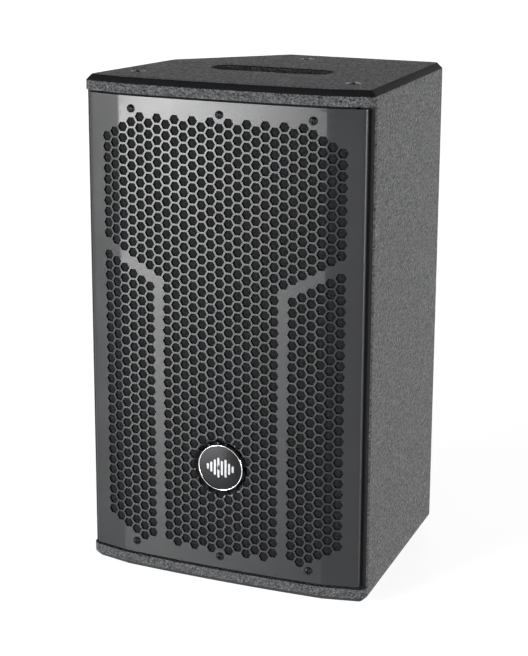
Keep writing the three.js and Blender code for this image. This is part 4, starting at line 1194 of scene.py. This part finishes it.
# ---- Ports ----------------------------------------------------------------------------
# Two moulded ABS tubes with a flared mouth, pushed into the baffle on either side between
# the horn and the woofer.
PORTS = [("left", -80), ("right", 80)]
PORT_Z = 248
port, port_faces = turned([
    (18, 78), (18, 31), (18.3, 28.5), (19.1, 26.8), (20.6, 25.7), (23.6, 25.7), (24, 26.1),
    (24, 27.7), (20, 27.7), (20, 78)], 64)
for name, x in PORTS:
    piece(f"{name}_port", port + (x, 0, PORT_Z), port_faces, BLACK_ABS,
          nodes=[f"port_tube_{name}"])


# ---- Crossover and loom ---------------------------------------------------------------
# The passive network stands on the right wall: a glass-epoxy board with an air-cored coil
# and a film capacitor. A jacketed loom brings the signal to it from the input socket.
BOARD_RESIN = grained("glass_epoxy_board", "#173a25", "#235236", 2.2, (0.35, 0.5), 0.02)
FILM = grained("capacitor_film", "#b48a1c", "#d0a53a", 4.0, (0.25, 0.35), 0.01)
JACKET = grained("cable_jacket", "#121213", "#1c1c1d", 1.5, (0.5, 0.65), 0.02)
wear(BOARD_RESIN, "crossover_board")
wear(COPPER, "crossover_coil")
wear(FILM, "crossover_capacitor")
wear(JACKET, "input_cable")


# ---- Baffle ---------------------------------------------------------------------------
# The 15 mm board that carries the drivers, glued in behind the foam and coated in black.
wear(PAINT, "baffle")


# ---- Damping pad ----------------------------------------------------------------------
# A slab of white polyester wadding, cut to size and stapled to the inside of the monitor
# wall. It is loose and springy, thick in the middle and thin at its cut edges.
PAD_HALF = (49.0, 185.0)
PAD_MIDDLE_Z = 215.0
PAD_ALONG = 57.8
PAD_HALF_T = 5.9


def wadding():
    """Two sheets over the same grid: half thickness times (1 - u^6)^(1/3) (1 - v^8)^(1/3),
    with low swells of 0.4 mm, which close where they meet at the edges."""
    u, v = np.meshgrid(np.sin(np.linspace(-1, 1, 33) * math.pi / 2),
                       np.sin(np.linspace(-1, 1, 81) * math.pi / 2), indexing="ij")
    full = np.cbrt(np.clip(1 - u ** 6, 0, 1)) * np.cbrt(np.clip(1 - v ** 8, 0, 1))
    swell = 0.4 * np.sin(u * 9 + 1) * np.sin(v * 21)
    sides = []
    for sign in (1, -1):
        out = sign * full * (PAD_HALF_T - 0.4 + sign * swell)
        away = PLY + 7 + out
        along = PAD_ALONG + u * PAD_HALF[0]
        sides.append(np.stack([
            LEFT_BEND[0] + along * math.cos(MONITOR_ANGLE) + away * math.sin(MONITOR_ANGLE),
            LEFT_BEND[1] + along * math.sin(MONITOR_ANGLE) - away * math.cos(MONITOR_ANGLE),
            PAD_MIDDLE_Z + v * PAD_HALF[1]], -1).reshape(-1, 3))
    i, j = np.meshgrid(np.arange(32), np.arange(80), indexing="ij")
    quads = np.stack([i * 81 + j, (i + 1) * 81 + j, (i + 1) * 81 + j + 1, i * 81 + j + 1],
                     -1).reshape(-1, 4)
    return np.concatenate(sides), np.concatenate([quads, quads[:, ::-1] + 33 * 81])


WADDING = grained("polyester_wadding", "#c9c8c3", "#e6e5e1", 3.0, (0.9, 1.0), 0.6)
points, faces = wadding()
pad = piece("wadding_pad", points, faces, WADDING,
            nodes=["damping_pad"], smooth=180)


low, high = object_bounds()
